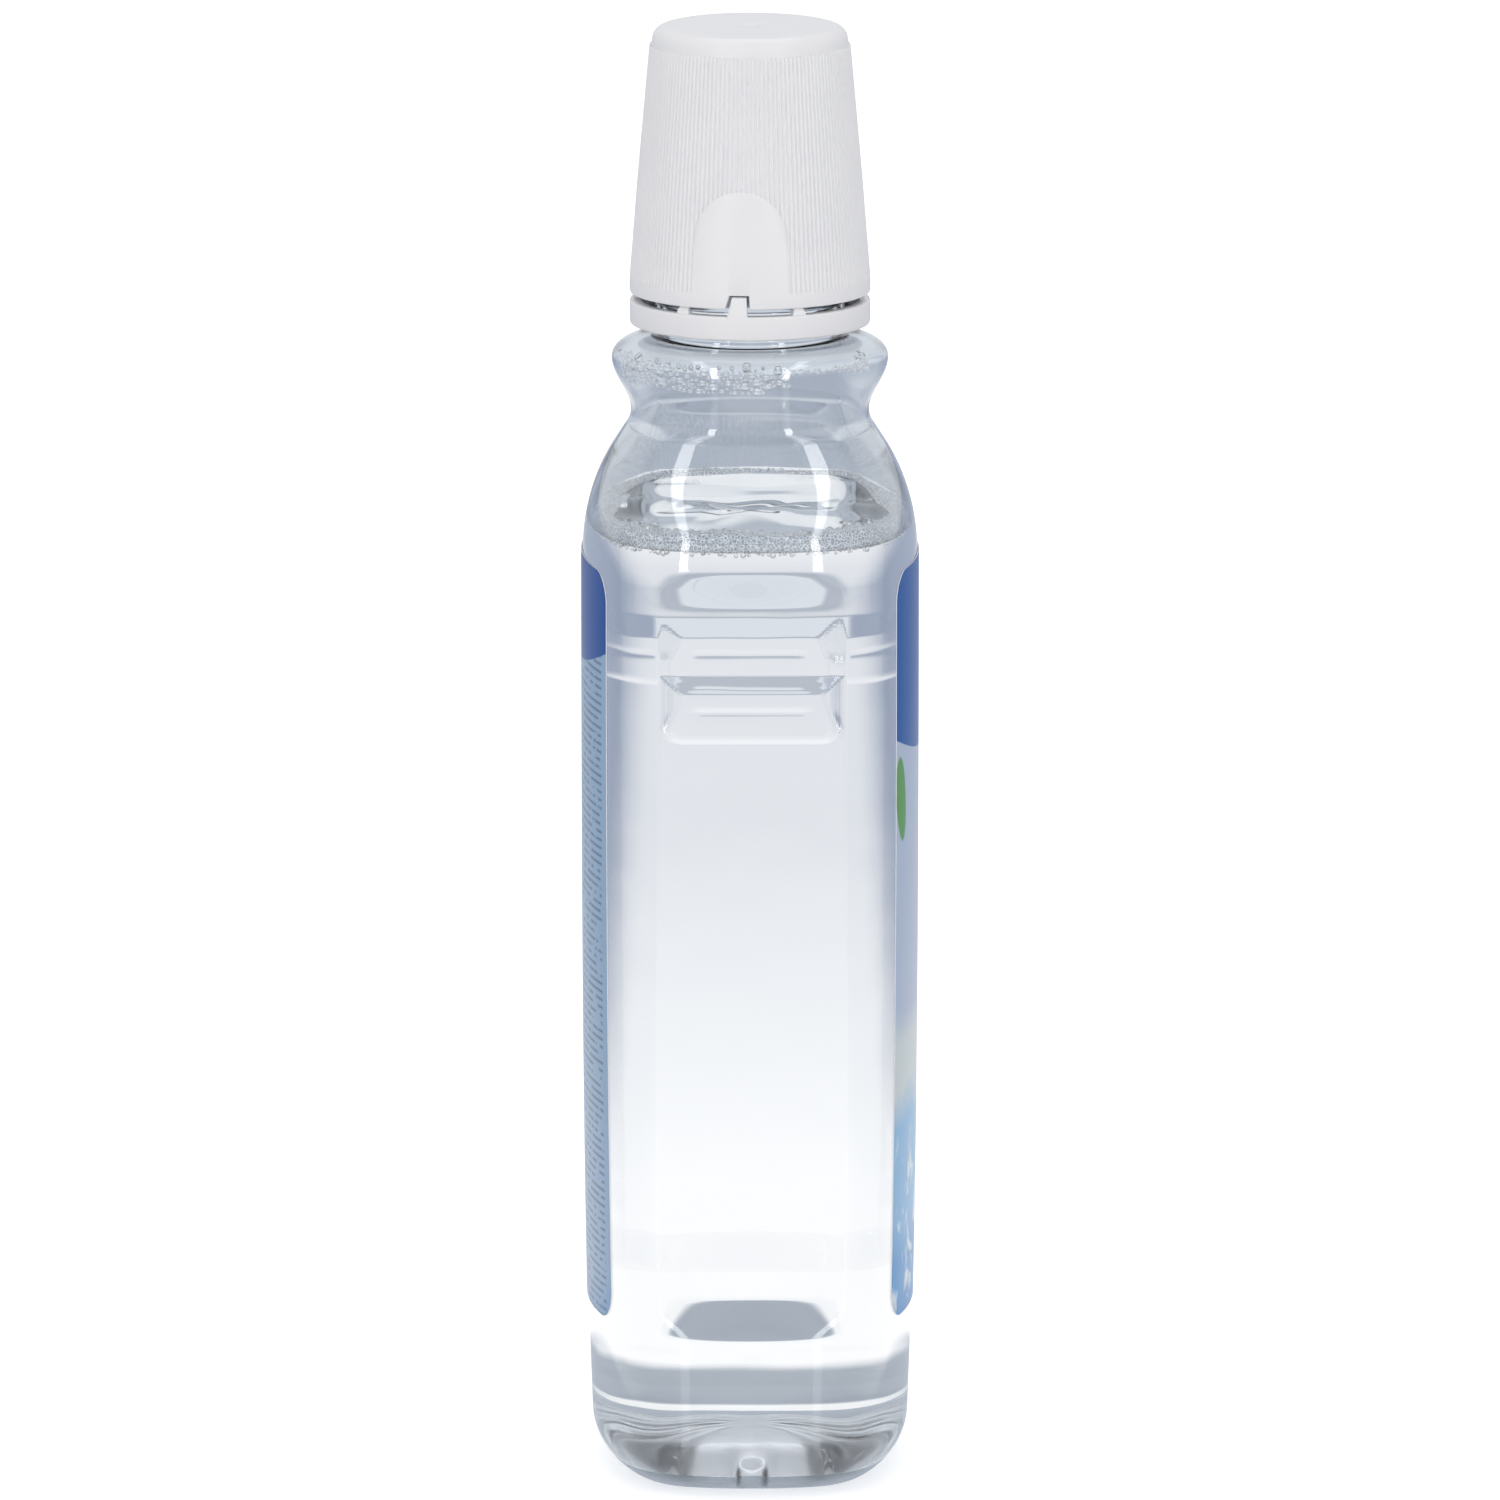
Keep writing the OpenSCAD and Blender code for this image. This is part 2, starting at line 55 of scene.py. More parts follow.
SHOULDER_R = 33.0
SLOPE = math.radians(32.0)  # steepest slope of the shoulder away from the vertical
WAIST_FILLET = 4.7
WAIST_W = 44.0
WAIST_D = 38.8
WAIST_SQUARE = 0.4  # how much of the body's squareness is left at the waist
COLLAR_R = 22.5
COLLAR_RISE = 8.5  # from the waist up to the collar's widest place
COLLAR_TOP_H = 3.7
COLLAR_FULL = 0.9  # a power below 1 fills out the collar's rounded top

PANEL_D = 3.0
PANEL_Z = 26.5
BEVEL_LOW = 6.2
BEVEL_HIGH = 6.4
PANEL_OVER = 3.0  # how far the upper bevel reaches above the shoulder's start
PANEL_ROUND = 0.35
POCKET_W = 30.5
POCKET_H = 9.6
POCKET_D = 1.1
POCKET_DROP = 16.0  # from the shoulder down to the pocket's top
POCKET_R = 4.0
POCKET_RIM = 0.3  # depth of the step round the pocket
RIM_FOOT_W = 0.7  # width of that step at the pocket's foot
RIM_SIDE_W = 3.2  # its width at the pocket's sides
FLOOR_RUN = 3.4  # over this width the pocket deepens from the step to its floor
LEDGE_H = 3.4  # height of the slope that leads into the pocket from above
LEDGE_OVER = 1.6  # how far above the pocket that slope starts
BAR_Z = 129.4
BAR_W = 20.0
BAR_D = 0.16
BAR_HALF_H = 0.6

HEEL_R = 8.0
HEEL_EXTRA = 2.4  # the heel's inner radius is larger by this, so the heel is thick
STAND_W = 2.5  # width of the ring that the bottle stands on
PUSHUP = 6.0
BASE_T = 0.9
FLUTES = 10
FLUTE_D = 1.1
NOTCH_D = 0.9
NOTCH_R = 2.4
NOTCH_FOOT = 0.3
NOTCH_TOP = 6.5

NECK_R = 15.2
BORE_R = 13.4
NECK_H = 24.3
BEAD_R = 16.6
BEAD_H = 1.6
BEAD_RISE = 3.8  # from the collar's top up to the bead
THREAD_H = 1.15
THREAD_PITCH = 3.2
THREAD_STARTS = 2
THREAD_TURNS = 1.3
THREAD_RISE = 3.4  # from the bead up to the thread's start
FILL_Z = 156.0

DROP = (BODY_D - WAIST_D) / 2
BEND_IN = (SHOULDER_R + WAIST_FILLET) * (1 - math.cos(SLOPE))
SLOPE_L = (DROP - BEND_IN) / math.sin(SLOPE)
SHOULDER_H = (SHOULDER_R + WAIST_FILLET) * math.sin(SLOPE) + SLOPE_L * math.cos(SLOPE)
WAIST_Z = SHOULDER_Z + SHOULDER_H
COLLAR_Z = WAIST_Z + COLLAR_RISE
COLLAR_TOP = COLLAR_Z + COLLAR_TOP_H
BEAD_Z = COLLAR_TOP + BEAD_RISE
BEAD_TOP = BEAD_Z + BEAD_H
THREAD_Z = BEAD_TOP + THREAD_RISE
RIM_Z = COLLAR_TOP + NECK_H
PANEL_TOP = SHOULDER_Z + PANEL_OVER
POCKET_TOP = SHOULDER_Z - POCKET_DROP
POCKET_FOOT = POCKET_TOP - POCKET_H
LEDGE_TOP = POCKET_TOP + LEDGE_OVER
DOME_W = BODY_W / 2 - TAPER - HEEL_R - STAND_W
DOME_D = BODY_D / 2 - TAPER - HEEL_R - STAND_W
PANEL_EDGE = math.atan2(math.sqrt(2 * SIDE_R * PANEL_D - PANEL_D**2), BODY_W / 2 - PANEL_D)


def mix(a, b, t):
    return a + (b - a) * t


def ramp(x, soft):
    """0 to 1 as x goes from 0 to 1, with both corners rounded."""
    return 0.5 * (np.hypot(x, soft) - np.hypot(x - 1, soft) + 1)


def sunk(z):
    """How much of the side panels' depth is reached at a height, from 0 to 1."""
    return min(ramp((z - PANEL_Z) / BEVEL_LOW, 0.05), ramp((PANEL_TOP - z) / BEVEL_HIGH, 0.05))


def draw_in(z):
    """How far the body's sides are drawn in at a height."""
    taper = TAPER * max(0.0, 1 - max(z, PANEL_Z) / SHOULDER_Z) ** 3
    if z >= PANEL_Z:
        return taper
    return mix(TAPER, taper, (z - HEEL_R) / (PANEL_Z - HEEL_R))


def body_ring(z, o):
    """A ring of the wall: height, half width, half depth, squareness and share of the panels' depth."""
    return (z, BODY_W / 2 - draw_in(z) - o, BODY_D / 2 - draw_in(z) - o, 1.0, sunk(z))


def shoulder_ring(z, lost, o):
    """A ring where the shoulder has come in by the given depth."""
    share = lost / DROP
    half_w = mix(BODY_W, WAIST_W, share) / 2 - o
    return (z, half_w, BODY_D / 2 - lost - o, mix(1, WAIST_SQUARE, share), sunk(z))


def shell_rings(o, base, r_end):
    """Rings of the blown wall from the middle of the base up to the neck, set in by o."""
    rings = []
    heel = HEEL_R + HEEL_EXTRA - o if o > 0 else HEEL_R
    half_w = BODY_W / 2 - TAPER - o
    half_d = BODY_D / 2 - TAPER - o
    for f in np.linspace(0.08, 1, 24):
        rings.append((base + PUSHUP * (1 - f**3), DOME_W * f, DOME_D * f, 1.0, 0.0))
    for u in np.radians(np.linspace(0, 90, 13)):
        back = heel * (1 - math.sin(u))
        rings.append((base + heel * (1 - math.cos(u)), half_w - back, half_d - back, 1.0, 0.0))
    # The rings lie close together at the bevels and closest at the pocket's fine edges
    levels = np.concatenate([
        np.linspace(base + heel, PANEL_Z - 1, 7)[1:],
        np.linspace(PANEL_Z - 0.5, PANEL_Z + BEVEL_LOW + 0.5, 17),
        np.linspace(PANEL_Z + BEVEL_LOW + 1, POCKET_FOOT - 1, 30),
        np.arange(POCKET_FOOT - 0.8, LEDGE_TOP + 0.8, 0.15),
        np.linspace(LEDGE_TOP + 1, SHOULDER_Z - 4, 16),
        np.linspace(SHOULDER_Z - 3.6, SHOULDER_Z, 9),
    ])
    rings += [body_ring(z, o) for z in levels]
    for u in np.linspace(0.01, SLOPE, 26):
        z = SHOULDER_Z + SHOULDER_R * math.sin(u)
        rings.append(shoulder_ring(z, SHOULDER_R * (1 - math.cos(u)), o))
    for u in np.linspace(SLOPE, 0, 9)[:-1]:
        z = WAIST_Z - WAIST_FILLET * math.sin(u)
        rings.append(shoulder_ring(z, DROP - WAIST_FILLET * (1 - math.cos(u)), o))
    for t in np.linspace(0, 1, 19)[:-1]:
        s = (1 - math.cos(math.pi * t)) / 2
        half_w = mix(WAIST_W / 2, COLLAR_R, s) - o
        half_d = mix(WAIST_D / 2, COLLAR_R, s) - o
        rings.append((WAIST_Z + COLLAR_RISE * t, half_w, half_d, WAIST_SQUARE * (1 - s), 0.0))
    for u in np.radians(np.linspace(0, 90, 13)):
        r = mix(r_end, COLLAR_R - o, math.cos(u) ** COLLAR_FULL if math.cos(u) > 1e-6 else 0.0)
        rings.append((COLLAR_Z + (COLLAR_TOP_H - o) * math.sin(u) ** COLLAR_FULL, r, r, 0.0, 0.0))
    return rings


def arc_reach(half, r, along, across):
    """Distance from the axis to one of the plan's arcs, which is half away from it at its middle."""
    return (half - r) * along + np.sqrt(r * r - ((half - r) * across) ** 2)


def reach(ring, turns):
    """Distance from the axis to the ring's outline in each direction."""
    _, w, d, square, panel = ring
    x, y = np.abs(np.cos(turns)), np.abs(np.sin(turns))
    oval = w * d / np.hypot(d * x, w * y)
    if square == 0:
        return oval
    side, face = arc_reach(w, SIDE_R, x, y), arc_reach(d, FACE_R, y, x)
    full = mix(oval, (side**-CORNER + face**-CORNER) ** (-1 / CORNER), square)
    over = full - (w - PANEL_D) / np.maximum(x, 0.01)
    rounded = (over + np.sqrt(over**2 + PANEL_ROUND**2)) / 2
    return full - panel * np.where(over > -4, rounded, 0)


def outline_turns(near_panel, rest):
    """Directions round the axis, with one on each edge of the side panels."""
    quarter = np.concatenate([np.linspace(0, PANEL_EDGE, near_panel, endpoint=False),
                              np.linspace(PANEL_EDGE, math.pi / 2, rest)])
    half = np.concatenate([quarter, math.pi - quarter[-2:0:-1]])
    return np.concatenate([half, half + math.pi])


def pocket_depth(y, z):
    """How deep a side panel is pressed in at a point by the grip pocket and the bar across it."""
    sinking = ramp((LEDGE_TOP - z) / LEDGE_H, 0.04)
    risen = np.clip((z - POCKET_FOOT) / (LEDGE_TOP - LEDGE_H - POCKET_FOOT), 0, 1)
    rising = POCKET_RIM + (POCKET_D - POCKET_RIM) * risen
    out_y = np.abs(y) - (POCKET_W / 2 - POCKET_R)
    out_z = POCKET_FOOT + POCKET_R - z
    from_corner = np.hypot(np.maximum(out_y, 0), np.maximum(out_z, 0))
    edge = POCKET_R - from_corner - np.minimum(np.maximum(out_y, out_z), 0)
    # The step is narrow at the pocket's foot and widens over the few millimetres above it
    widened = float(ramp(np.array([(z - POCKET_FOOT - 0.6 * POCKET_R) / 3]), 0.1)[0])
    step = POCKET_RIM * ramp(edge / mix(RIM_FOOT_W, RIM_SIDE_W, widened), 0.12)
    rim = step + (POCKET_D - POCKET_RIM) * ramp((edge - RIM_FOOT_W) / FLOOR_RUN, 0.1)
    bar = BAR_D * np.exp(-((z - BAR_Z) / BAR_HALF_H) ** 2) * ramp((BAR_W / 2 - np.abs(y)) / 1.5, 0.2)
    return np.minimum(sinking * rising, rim) - bar


def wall_points(ring, turns, o):
    """A ring's points, with what the mould presses into the wall there."""
    z, w, _, square, panel = ring
    r = reach(ring, turns)
    p = np.stack([r * np.cos(turns), r * np.sin(turns), np.full(len(turns), z)], axis=1)
    if PANEL_Z < z < PANEL_TOP:
        on_side = (np.abs(p[:, 1]) < POCKET_W / 2 + 0.5) & (abs(z - POCKET_TOP) < 2 * POCKET_H)
        p[:, 0] -= np.sign(p[:, 0]) * np.where(on_side, pocket_depth(p[:, 1], z), 0)
    share = w / DOME_W
    if panel == 0 and square == 1 and share <= 1.0001 and z < PUSHUP + 2:
        # Ten shallow flutes stiffen the pushed-up base
        p[:, 2] -= FLUTE_D * share**2 * (1 - share**6) * (0.5 + 0.5 * np.cos(FLUTES * turns)) ** 2
    elif z < HEEL_R + 1 and o == 0:
        # The moulding's indexing notch is a short upright groove in the heel on one side
        groove = NOTCH_D * np.sqrt(np.clip(1 - (p[:, 1] / NOTCH_R) ** 2, 0, None))
        groove = groove * ramp((z - NOTCH_FOOT) / 0.8, 0.2) * ramp((NOTCH_TOP - z) / 2, 0.2)
        p[:, 0] += np.where(p[:, 0] < 0, groove, 0)
    return p


def new_piece(name, verts, faces, smooth=None):
    """A piece with a mesh of its own, smooth all over or on the faces that a list says."""
    mesh = bpy.data.meshes.new(name)
    mesh.from_pydata(verts, [], faces)
    mesh.polygons.foreach_set("use_smooth", smooth or [True] * len(faces))
    mesh.update()
    piece = bpy.data.objects.new(name, mesh)
    bpy.context.collection.objects.link(piece)
    return piece


def stack(name, rows, first=None, last=None, loop=False):
    """A piece through rows of points that run round the axis, closed at the ends by single points."""
    n, count = len(rows[0]), len(rows)
    verts = [tuple(v * MM for v in p) for row in rows for p in row]
    faces = []
    for i in range(count if loop else count - 1):
        a, b = i * n, ((i + 1) % count) * n
        faces += [(a + k, a + (k + 1) % n, b + (k + 1) % n, b + k) for k in range(n)]
    if first is not None:
        verts.append(tuple(v * MM for v in first))
        faces += [((k + 1) % n, k, len(verts) - 1) for k in range(n)]
    if last is not None:
        verts.append(tuple(v * MM for v in last))
        top = (count - 1) * n
        faces += [(top + k, top + (k + 1) % n, len(verts) - 1) for k in range(n)]
    return new_piece(name, verts, faces)


def thread_height(turns, z, foot_z, height):
    """Height of the screw thread's ridge above its root: right-handed, with runs that fade out."""
    lead = THREAD_PITCH * THREAD_STARTS
    half_w, flank = THREAD_PITCH * 0.36, THREAD_PITCH * 0.2
    fade_turns = 0.06
    best = np.zeros(len(turns))
    for start in range(THREAD_STARTS):
        for lap in range(3):
            t = (turns - 2 * math.pi * start / THREAD_STARTS) % (2 * math.pi) + 2 * math.pi * lap
            along = t / (2 * math.pi)
            off = np.abs(z - foot_z - lead * along)
            ridge = np.clip((half_w - off) / flank, 0, 1)
            fade = np.clip(along / fade_turns, 0, 1) * np.clip((THREAD_TURNS - along) / fade_turns, 0, 1)
            best = np.maximum(best, height * ridge * fade)
    return best


def circle_row(turns, r, z):
    """A row of points round the axis, whose radius and height may change from point to point."""
    return np.stack([r * np.cos(turns), r * np.sin(turns), np.broadcast_to(z, turns.shape)], axis=1)


wall_turns = outline_turns(36, 40)
rows = [wall_points(ring, wall_turns, 0) for ring in shell_rings(0, 0, NECK_R)]
# Up the neck's outside, round the bead and over the thread
neck_foot = [(NECK_R, COLLAR_TOP + 0.6), (NECK_R, BEAD_Z - 0.3), (NECK_R + 0.3, BEAD_Z),
             (BEAD_R - 0.2, BEAD_Z), (BEAD_R, BEAD_Z + 0.2), (BEAD_R, BEAD_Z + BEAD_H / 2),
             (NECK_R + 0.1, BEAD_TOP), (NECK_R, BEAD_TOP + 0.3)]
rows += [circle_row(wall_turns, r, z) for r, z in neck_foot]
for z in np.arange(BEAD_TOP + 0.6, RIM_Z - 0.6, 0.25):
    rows.append(circle_row(wall_turns, NECK_R + thread_height(wall_turns, z, THREAD_Z, THREAD_H), z))
# Over the rim, down the bore and down the body's inside
rim = [(NECK_R, RIM_Z - 0.4), (NECK_R - 0.15, RIM_Z - 0.1), (NECK_R - 0.4, RIM_Z),
       (BORE_R + 0.4, RIM_Z), (BORE_R + 0.1, RIM_Z - 0.1), (BORE_R, RIM_Z - 0.4)]
rows += [circle_row(wall_turns, r, z) for r, z in rim]
rows += [circle_row(wall_turns, BORE_R, z) for z in np.linspace(RIM_Z - 2, COLLAR_TOP, 10)]
inside_from = len(rows) * len(wall_turns)
rows += [wall_points(ring, wall_turns, WALL) for ring in reversed(shell_rings(WALL, BASE_T, BORE_R))]
bottle = stack("bottle_shell", rows, first=(0, 0, PUSHUP), last=(0, 0, BASE_T + PUSHUP))


def linear(code):
    """An sRGB hex colour as linear RGBA."""
    parts = [int(code[i:i + 2], 16) / 255 for i in (1, 3, 5)]
    return tuple(c / 12.92 if c <= 0.04045 else ((c + 0.055) / 1.055) ** 2.4 for c in parts) + (1.0,)


def add(tree, kind, settings=None, **inputs):
    """A shader node with its settings, and each input given as a value or as another node's socket."""
    made = tree.nodes.new("ShaderNode" + kind)
    for key, value in (settings or {}).items():
        setattr(made, key, value)
    for key, value in inputs.items():
        slot = made.inputs[int(key[1:]) if key[0] == "_" else key.replace("_", " ")]
        if isinstance(value, bpy.types.NodeSocket):
            tree.links.new(value, slot)
        else:
            slot.default_value = value
    return made


def new_material(name):
    made = bpy.data.materials.new(name)
    made.use_nodes = True
    made.node_tree.nodes.clear()
    return made, made.node_tree


def finish_clear(tree, surface, tint=(1, 1, 1, 1)):
    """End a clear material, so that light from the lamps goes straight through to what is inside."""
    ray = add(tree, "LightPath").outputs["Is Shadow Ray"]
    passing = add(tree, "BsdfTransparent", Color=tint)
    both = add(tree, "MixShader", _0=ray, _1=surface.outputs[0], _2=passing.outputs[0])
    add(tree, "OutputMaterial", Surface=both.outputs[0])


def clear_wall(name, ior, tint, roughness, wave):
    """Blown plastic, whose thickness wanders over about 14 mm, so that its reflections waver a little."""
    made, tree = new_material(name)
    place = add(tree, "TexCoord").outputs["Object"]
    ripple = add(tree, "TexNoise", Vector=place, Scale=1 / (14 * MM), Detail=1.0)
    relief = add(tree, "Bump", Height=ripple.outputs["Fac"], Strength=wave, Distance=0.3 * MM)
    wall = add(tree, "BsdfPrincipled", Base_Color=linear(tint), Roughness=roughness, IOR=ior,
               Transmission_Weight=1.0, Normal=relief.outputs["Normal"])
    finish_clear(tree, wall, (0.97, 0.98, 0.985, 1))
    return made


# PET has an IOR of about 1.575, which gives the dry wall its bright reflections and dark edges.
# Where the mouthwash wets it, only the step from 1.575 to 1.333 is left and the wall hardly shows.
# Under the push-up the mould is blasted, which frosts the base. Its grey tint is painted shade, which
# darkens what is seen through it.
PET_IOR = 1.575
WATER_IOR = 1.333
for finish in (
    clear_wall("blown_pet", PET_IOR, "#FBFDFF", 0.015, 0.35),
    clear_wall("blown_pet_wetted", PET_IOR / WATER_IOR, "#FFFFFF", 0.0, 0.2),
    clear_wall("frosted_pet_base_painted_shade", PET_IOR, "#A3ADB8", 0.28, 0.35),
):
    bottle.data.materials.append(finish)
for face in bottle.data.polygons:
    if min(face.vertices) >= inside_from and face.center.z < FILL_Z * MM:
        face.material_index = 1
    elif face.center.z < PUSHUP * MM and face.normal.z < -0.6:
        face.material_index = 2
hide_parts("bottle")
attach(bottle, "bottle")


# The mouthwash is a clear watery liquid, poured in through the neck. It meets the wall without a
# gap, so only its surface bends light. The surface creeps up the wall in a meniscus and still
# moves a little.
LIQUID_IN = 0.15  # how far the mesh lies inside the wall, too little to show
MENISCUS_H = 1.3
MENISCUS_L = 1.8  # how far in from the wall the meniscus has mostly gone
LONG_SWELL = 0.3
SHORT_SWELL = 0.16
CALM_W = 6  # the swell grows to its height over this width from the wall


def surface_lift(x, y, to_wall):
    """Height of the surface above its level."""
    swell = (LONG_SWELL * np.sin(x / 5.1 + y / 11 + 0.6) * np.cos(y / 6.1)
             + SHORT_SWELL * np.sin(x / 2.7 - y / 5.3 + 1.9))
    return MENISCUS_H * np.exp(-to_wall / MENISCUS_L) + swell * np.clip(to_wall / CALM_W, 0, 1)


liquid_turns = outline_turns(30, 30)
edge_z = FILL_Z + MENISCUS_H
liquid_rings = shell_rings(WALL + LIQUID_IN, BASE_T + LIQUID_IN, BORE_R)
liquid_rows = [wall_points(ring, liquid_turns, WALL) for ring in liquid_rings if ring[0] < edge_z]
edge_row = liquid_rows[-1].copy()
edge_row[:, 2] = edge_z
surface_from = len(liquid_rows) * len(liquid_turns)
liquid_rows.append(edge_row)
edge_r = np.hypot(edge_row[:, 0], edge_row[:, 1])
for gap in list(np.linspace(0.3, 6, 14)) + [9, 13, 18, 24]:
    shrunk = edge_row.copy()
    keep = np.clip((edge_r - gap) / edge_r, 0.05, 1)
    shrunk[:, 0] *= keep
    shrunk[:, 1] *= keep
    shrunk[:, 2] = FILL_Z + surface_lift(shrunk[:, 0], shrunk[:, 1], gap)
    liquid_rows.append(shrunk)
liquid = stack("mouthwash_liquid", liquid_rows, first=(0, 0, BASE_T + LIQUID_IN + PUSHUP),
               last=(0, 0, float(liquid_rows[-1][:, 2].mean())))

# The free surface reflects and bends light as water does, so seen from a low angle it mirrors
water, tree = new_material("mouthwash_surface")
surface = add(tree, "BsdfPrincipled", Base_Color=linear("#FFFFFF"), Roughness=0.0, IOR=WATER_IOR,
              Transmission_Weight=1.0)
finish_clear(tree, surface)
# Where it touches the wall nothing shows, since the wall's inner face bends the light there
wetted, tree = new_material("mouthwash_at_wall")
passing = add(tree, "BsdfTransparent", Color=(1, 1, 1, 1))
add(tree, "OutputMaterial", Surface=passing.outputs[0])
liquid.data.materials.append(water)
liquid.data.materials.append(wetted)
for face in liquid.data.polygons:
    if min(face.vertices) < surface_from:
        face.material_index = 1
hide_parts("mouthwash")
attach(liquid, "bottle")


# Froth rings the liquid's surface along the wall, and some clings inside the collar where it was
# thrown when the bottle was tipped. It is made of round bubbles with thin watery skins, and the
# ring lies on a bed of bubbles too fine to tell apart. It is thickest on the side at -X.
LARGE_R = 0.55  # bubbles above this radius get a finer ball
SKIN_GAP = 0.12  # between a bubble of the ring and the wall
WALL_SHARE = 0.6  # this share of the ring's bubbles cling to the wall
BED_SHARE = 0.85  # up to this share they are small ones on the bed, and the rest are large
PATCH_SHARE = 0.84  # this share of the collar's bubbles lie in one thick patch
TRAIL_SHARE = 0.95  # up to this share they trail off from it, and the rest are a small cluster
CELL = 3  # side of the cells that are searched for near bubbles, over twice the largest radius
dice = random.Random(7)


def unit_ball(fineness):
    """A ball of radius 1, as points and triangles."""
    bpy.ops.mesh.primitive_ico_sphere_add(subdivisions=fineness, radius=1)
    ball = bpy.context.object
    points = np.array([v.co[:] for v in ball.data.vertices])
    faces = np.array([p.vertices[:] for p in ball.data.polygons])
    bpy.data.objects.remove(ball)
    return points, faces


def froth(name, bubbles):
    """One mesh of bubbles, each given as its middle and radius in millimetres."""
    small, large = unit_ball(2), unit_ball(3)
    points, faces, count = [], [], 0
    for x, y, z, r in bubbles:
        ball, sides = large if r > LARGE_R else small
        points.append((ball * r + (x, y, z)) * MM)
        faces.append(sides + count)
        count += len(ball)
    return new_piece(name, np.concatenate(points).tolist(), np.concatenate(faces).tolist())


def settled(tries, pick, least):
    """Bubbles that hardly overlap: each try is kept where it stays clear of those before it."""
    kept, cells = [], {}
    for _ in range(tries):
        x, y, z, r = pick()
        cell = (int(x // CELL), int(y // CELL), int(z // CELL))
        near = [b for i in (-1, 0, 1) for j in (-1, 0, 1) for k in (-1, 0, 1)
                for b in cells.get((cell[0] + i, cell[1] + j, cell[2] + k), ())]
        if all((x - a)**2 + (y - b)**2 + (z - c)**2 > (least * (r + s))**2 for a, b, c, s in near):
            kept.append((x, y, z, r))
            cells.setdefault(cell, []).append((x, y, z, r))
    return kept


def shoulder_inside(z):
    """The ring of the shoulder's inner face at a height."""
    u = math.asin((z - SHOULDER_Z) / SHOULDER_R)
    return shoulder_ring(z, SHOULDER_R * (1 - math.cos(u)), WALL)


def bed_width(turn):
    return 3.2 + 9 * np.maximum(0, -np.cos(turn)) ** 2 + 0.7 * np.sin(5 * turn + 1)


def bed_height(turn):
    return 1.0 + 1.5 * np.maximum(0, -np.cos(turn)) + 0.25 * np.sin(9 * turn)


def bed_level(turn, inward):
    """Height of the bed's slope at a distance from the wall."""
    return bed_height(turn) * (1 - inward / bed_width(turn))


def pick_surface():
    """One try at a bubble of the ring."""
    turn = dice.uniform(0, 2 * math.pi)
    near = max(0.0, -math.cos(turn))
    kind = dice.random()
    if kind < WALL_SHARE:
        inward = dice.random() * 0.9
        r = dice.choice((0.2, 0.26, 0.34, 0.46))
        z = FILL_Z + dice.uniform(-0.7, 0.9 + 1.2 * near)
    elif kind < BED_SHARE:
        inward = dice.uniform(0.5, 0.9 * bed_width(turn))
        r = dice.choice((0.18, 0.22, 0.28))
        z = FILL_Z + 0.2 + bed_level(turn, inward)
    else:
        turn = dice.gauss(math.pi, 0.35)
        inward = dice.uniform(4, 10.5)
        r = dice.uniform(0.5, 0.85)
        z = FILL_Z + 0.35 + bed_level(turn, inward)
    out = float(reach(shoulder_inside(z), np.array([turn]))[0]) - SKIN_GAP - r - inward
    return out * math.cos(turn), out * math.sin(turn), z, r


def pick_collar():
    """One try at a bubble inside the collar."""
    kind = dice.random()
    if kind < PATCH_SHARE:
        turn = math.radians(mix(100, 197, dice.random() ** 0.8))
        up = max(-2.8, min(1.2, dice.gauss(-0.9, 1.1))) * (1 if turn < math.radians(186) else 0.6)
        r = dice.choice((0.25, 0.35, 0.45, 0.6, 0.75))
    elif kind < TRAIL_SHARE:
        turn = math.radians(dice.uniform(195, 240))
        up = dice.gauss(0.4, 0.2)
        r = dice.choice((0.18, 0.24))
    else:
        turn = math.radians(dice.gauss(238, 2))
        up = dice.gauss(0.6, 0.7)
        r = dice.choice((0.3, 0.4))
    z = COLLAR_Z + 0.2 + up
    wall = COLLAR_R - WALL - 0.05 * up * up
    out = wall - 0.15 - r - dice.random() * 0.5
    return out * math.cos(turn), out * math.sin(turn), z, r


def froth_bed():
    """The fine froth under the larger bubbles: a low bank that slopes from the wall to the surface."""
    turns = np.linspace(0, 2 * math.pi, 720, endpoint=False)
    width, height = bed_width(turns), bed_height(turns)
    # The bank's section goes up the wall, down the slope and back under the surface. Each point is
    # a share of the width, and a share of the height or millimetres below the surface.
    section = [(0.0, -0.35), (0.0, 0.2), (0.0, 0.7), (0.03, 0.95)]
    section += [(t, (1 - t) ** 0.8) for t in np.linspace(0.08, 0.94, 22)]
    section += [(0.97, 0.03), (0.9, -0.1), (0.5, -0.2), (0.1, -0.3)]
    rows = []
    for share, up in section:
        z = FILL_Z + 0.12 + (height * up if up > 0 else up)
        knobs = 0.1 * np.sin(turns * 97 + share * 41) * np.sin(share * width * 4.1 + 3 * np.sin(turns * 13))
        z = z + np.where(up > 0.02, knobs, 0)
        wall = reach(shoulder_inside(float(np.mean(z)) + 0.4), turns) - 0.25
        rows.append(circle_row(turns, wall - width * share, z))
    return stack("froth_bed", rows, loop=True)


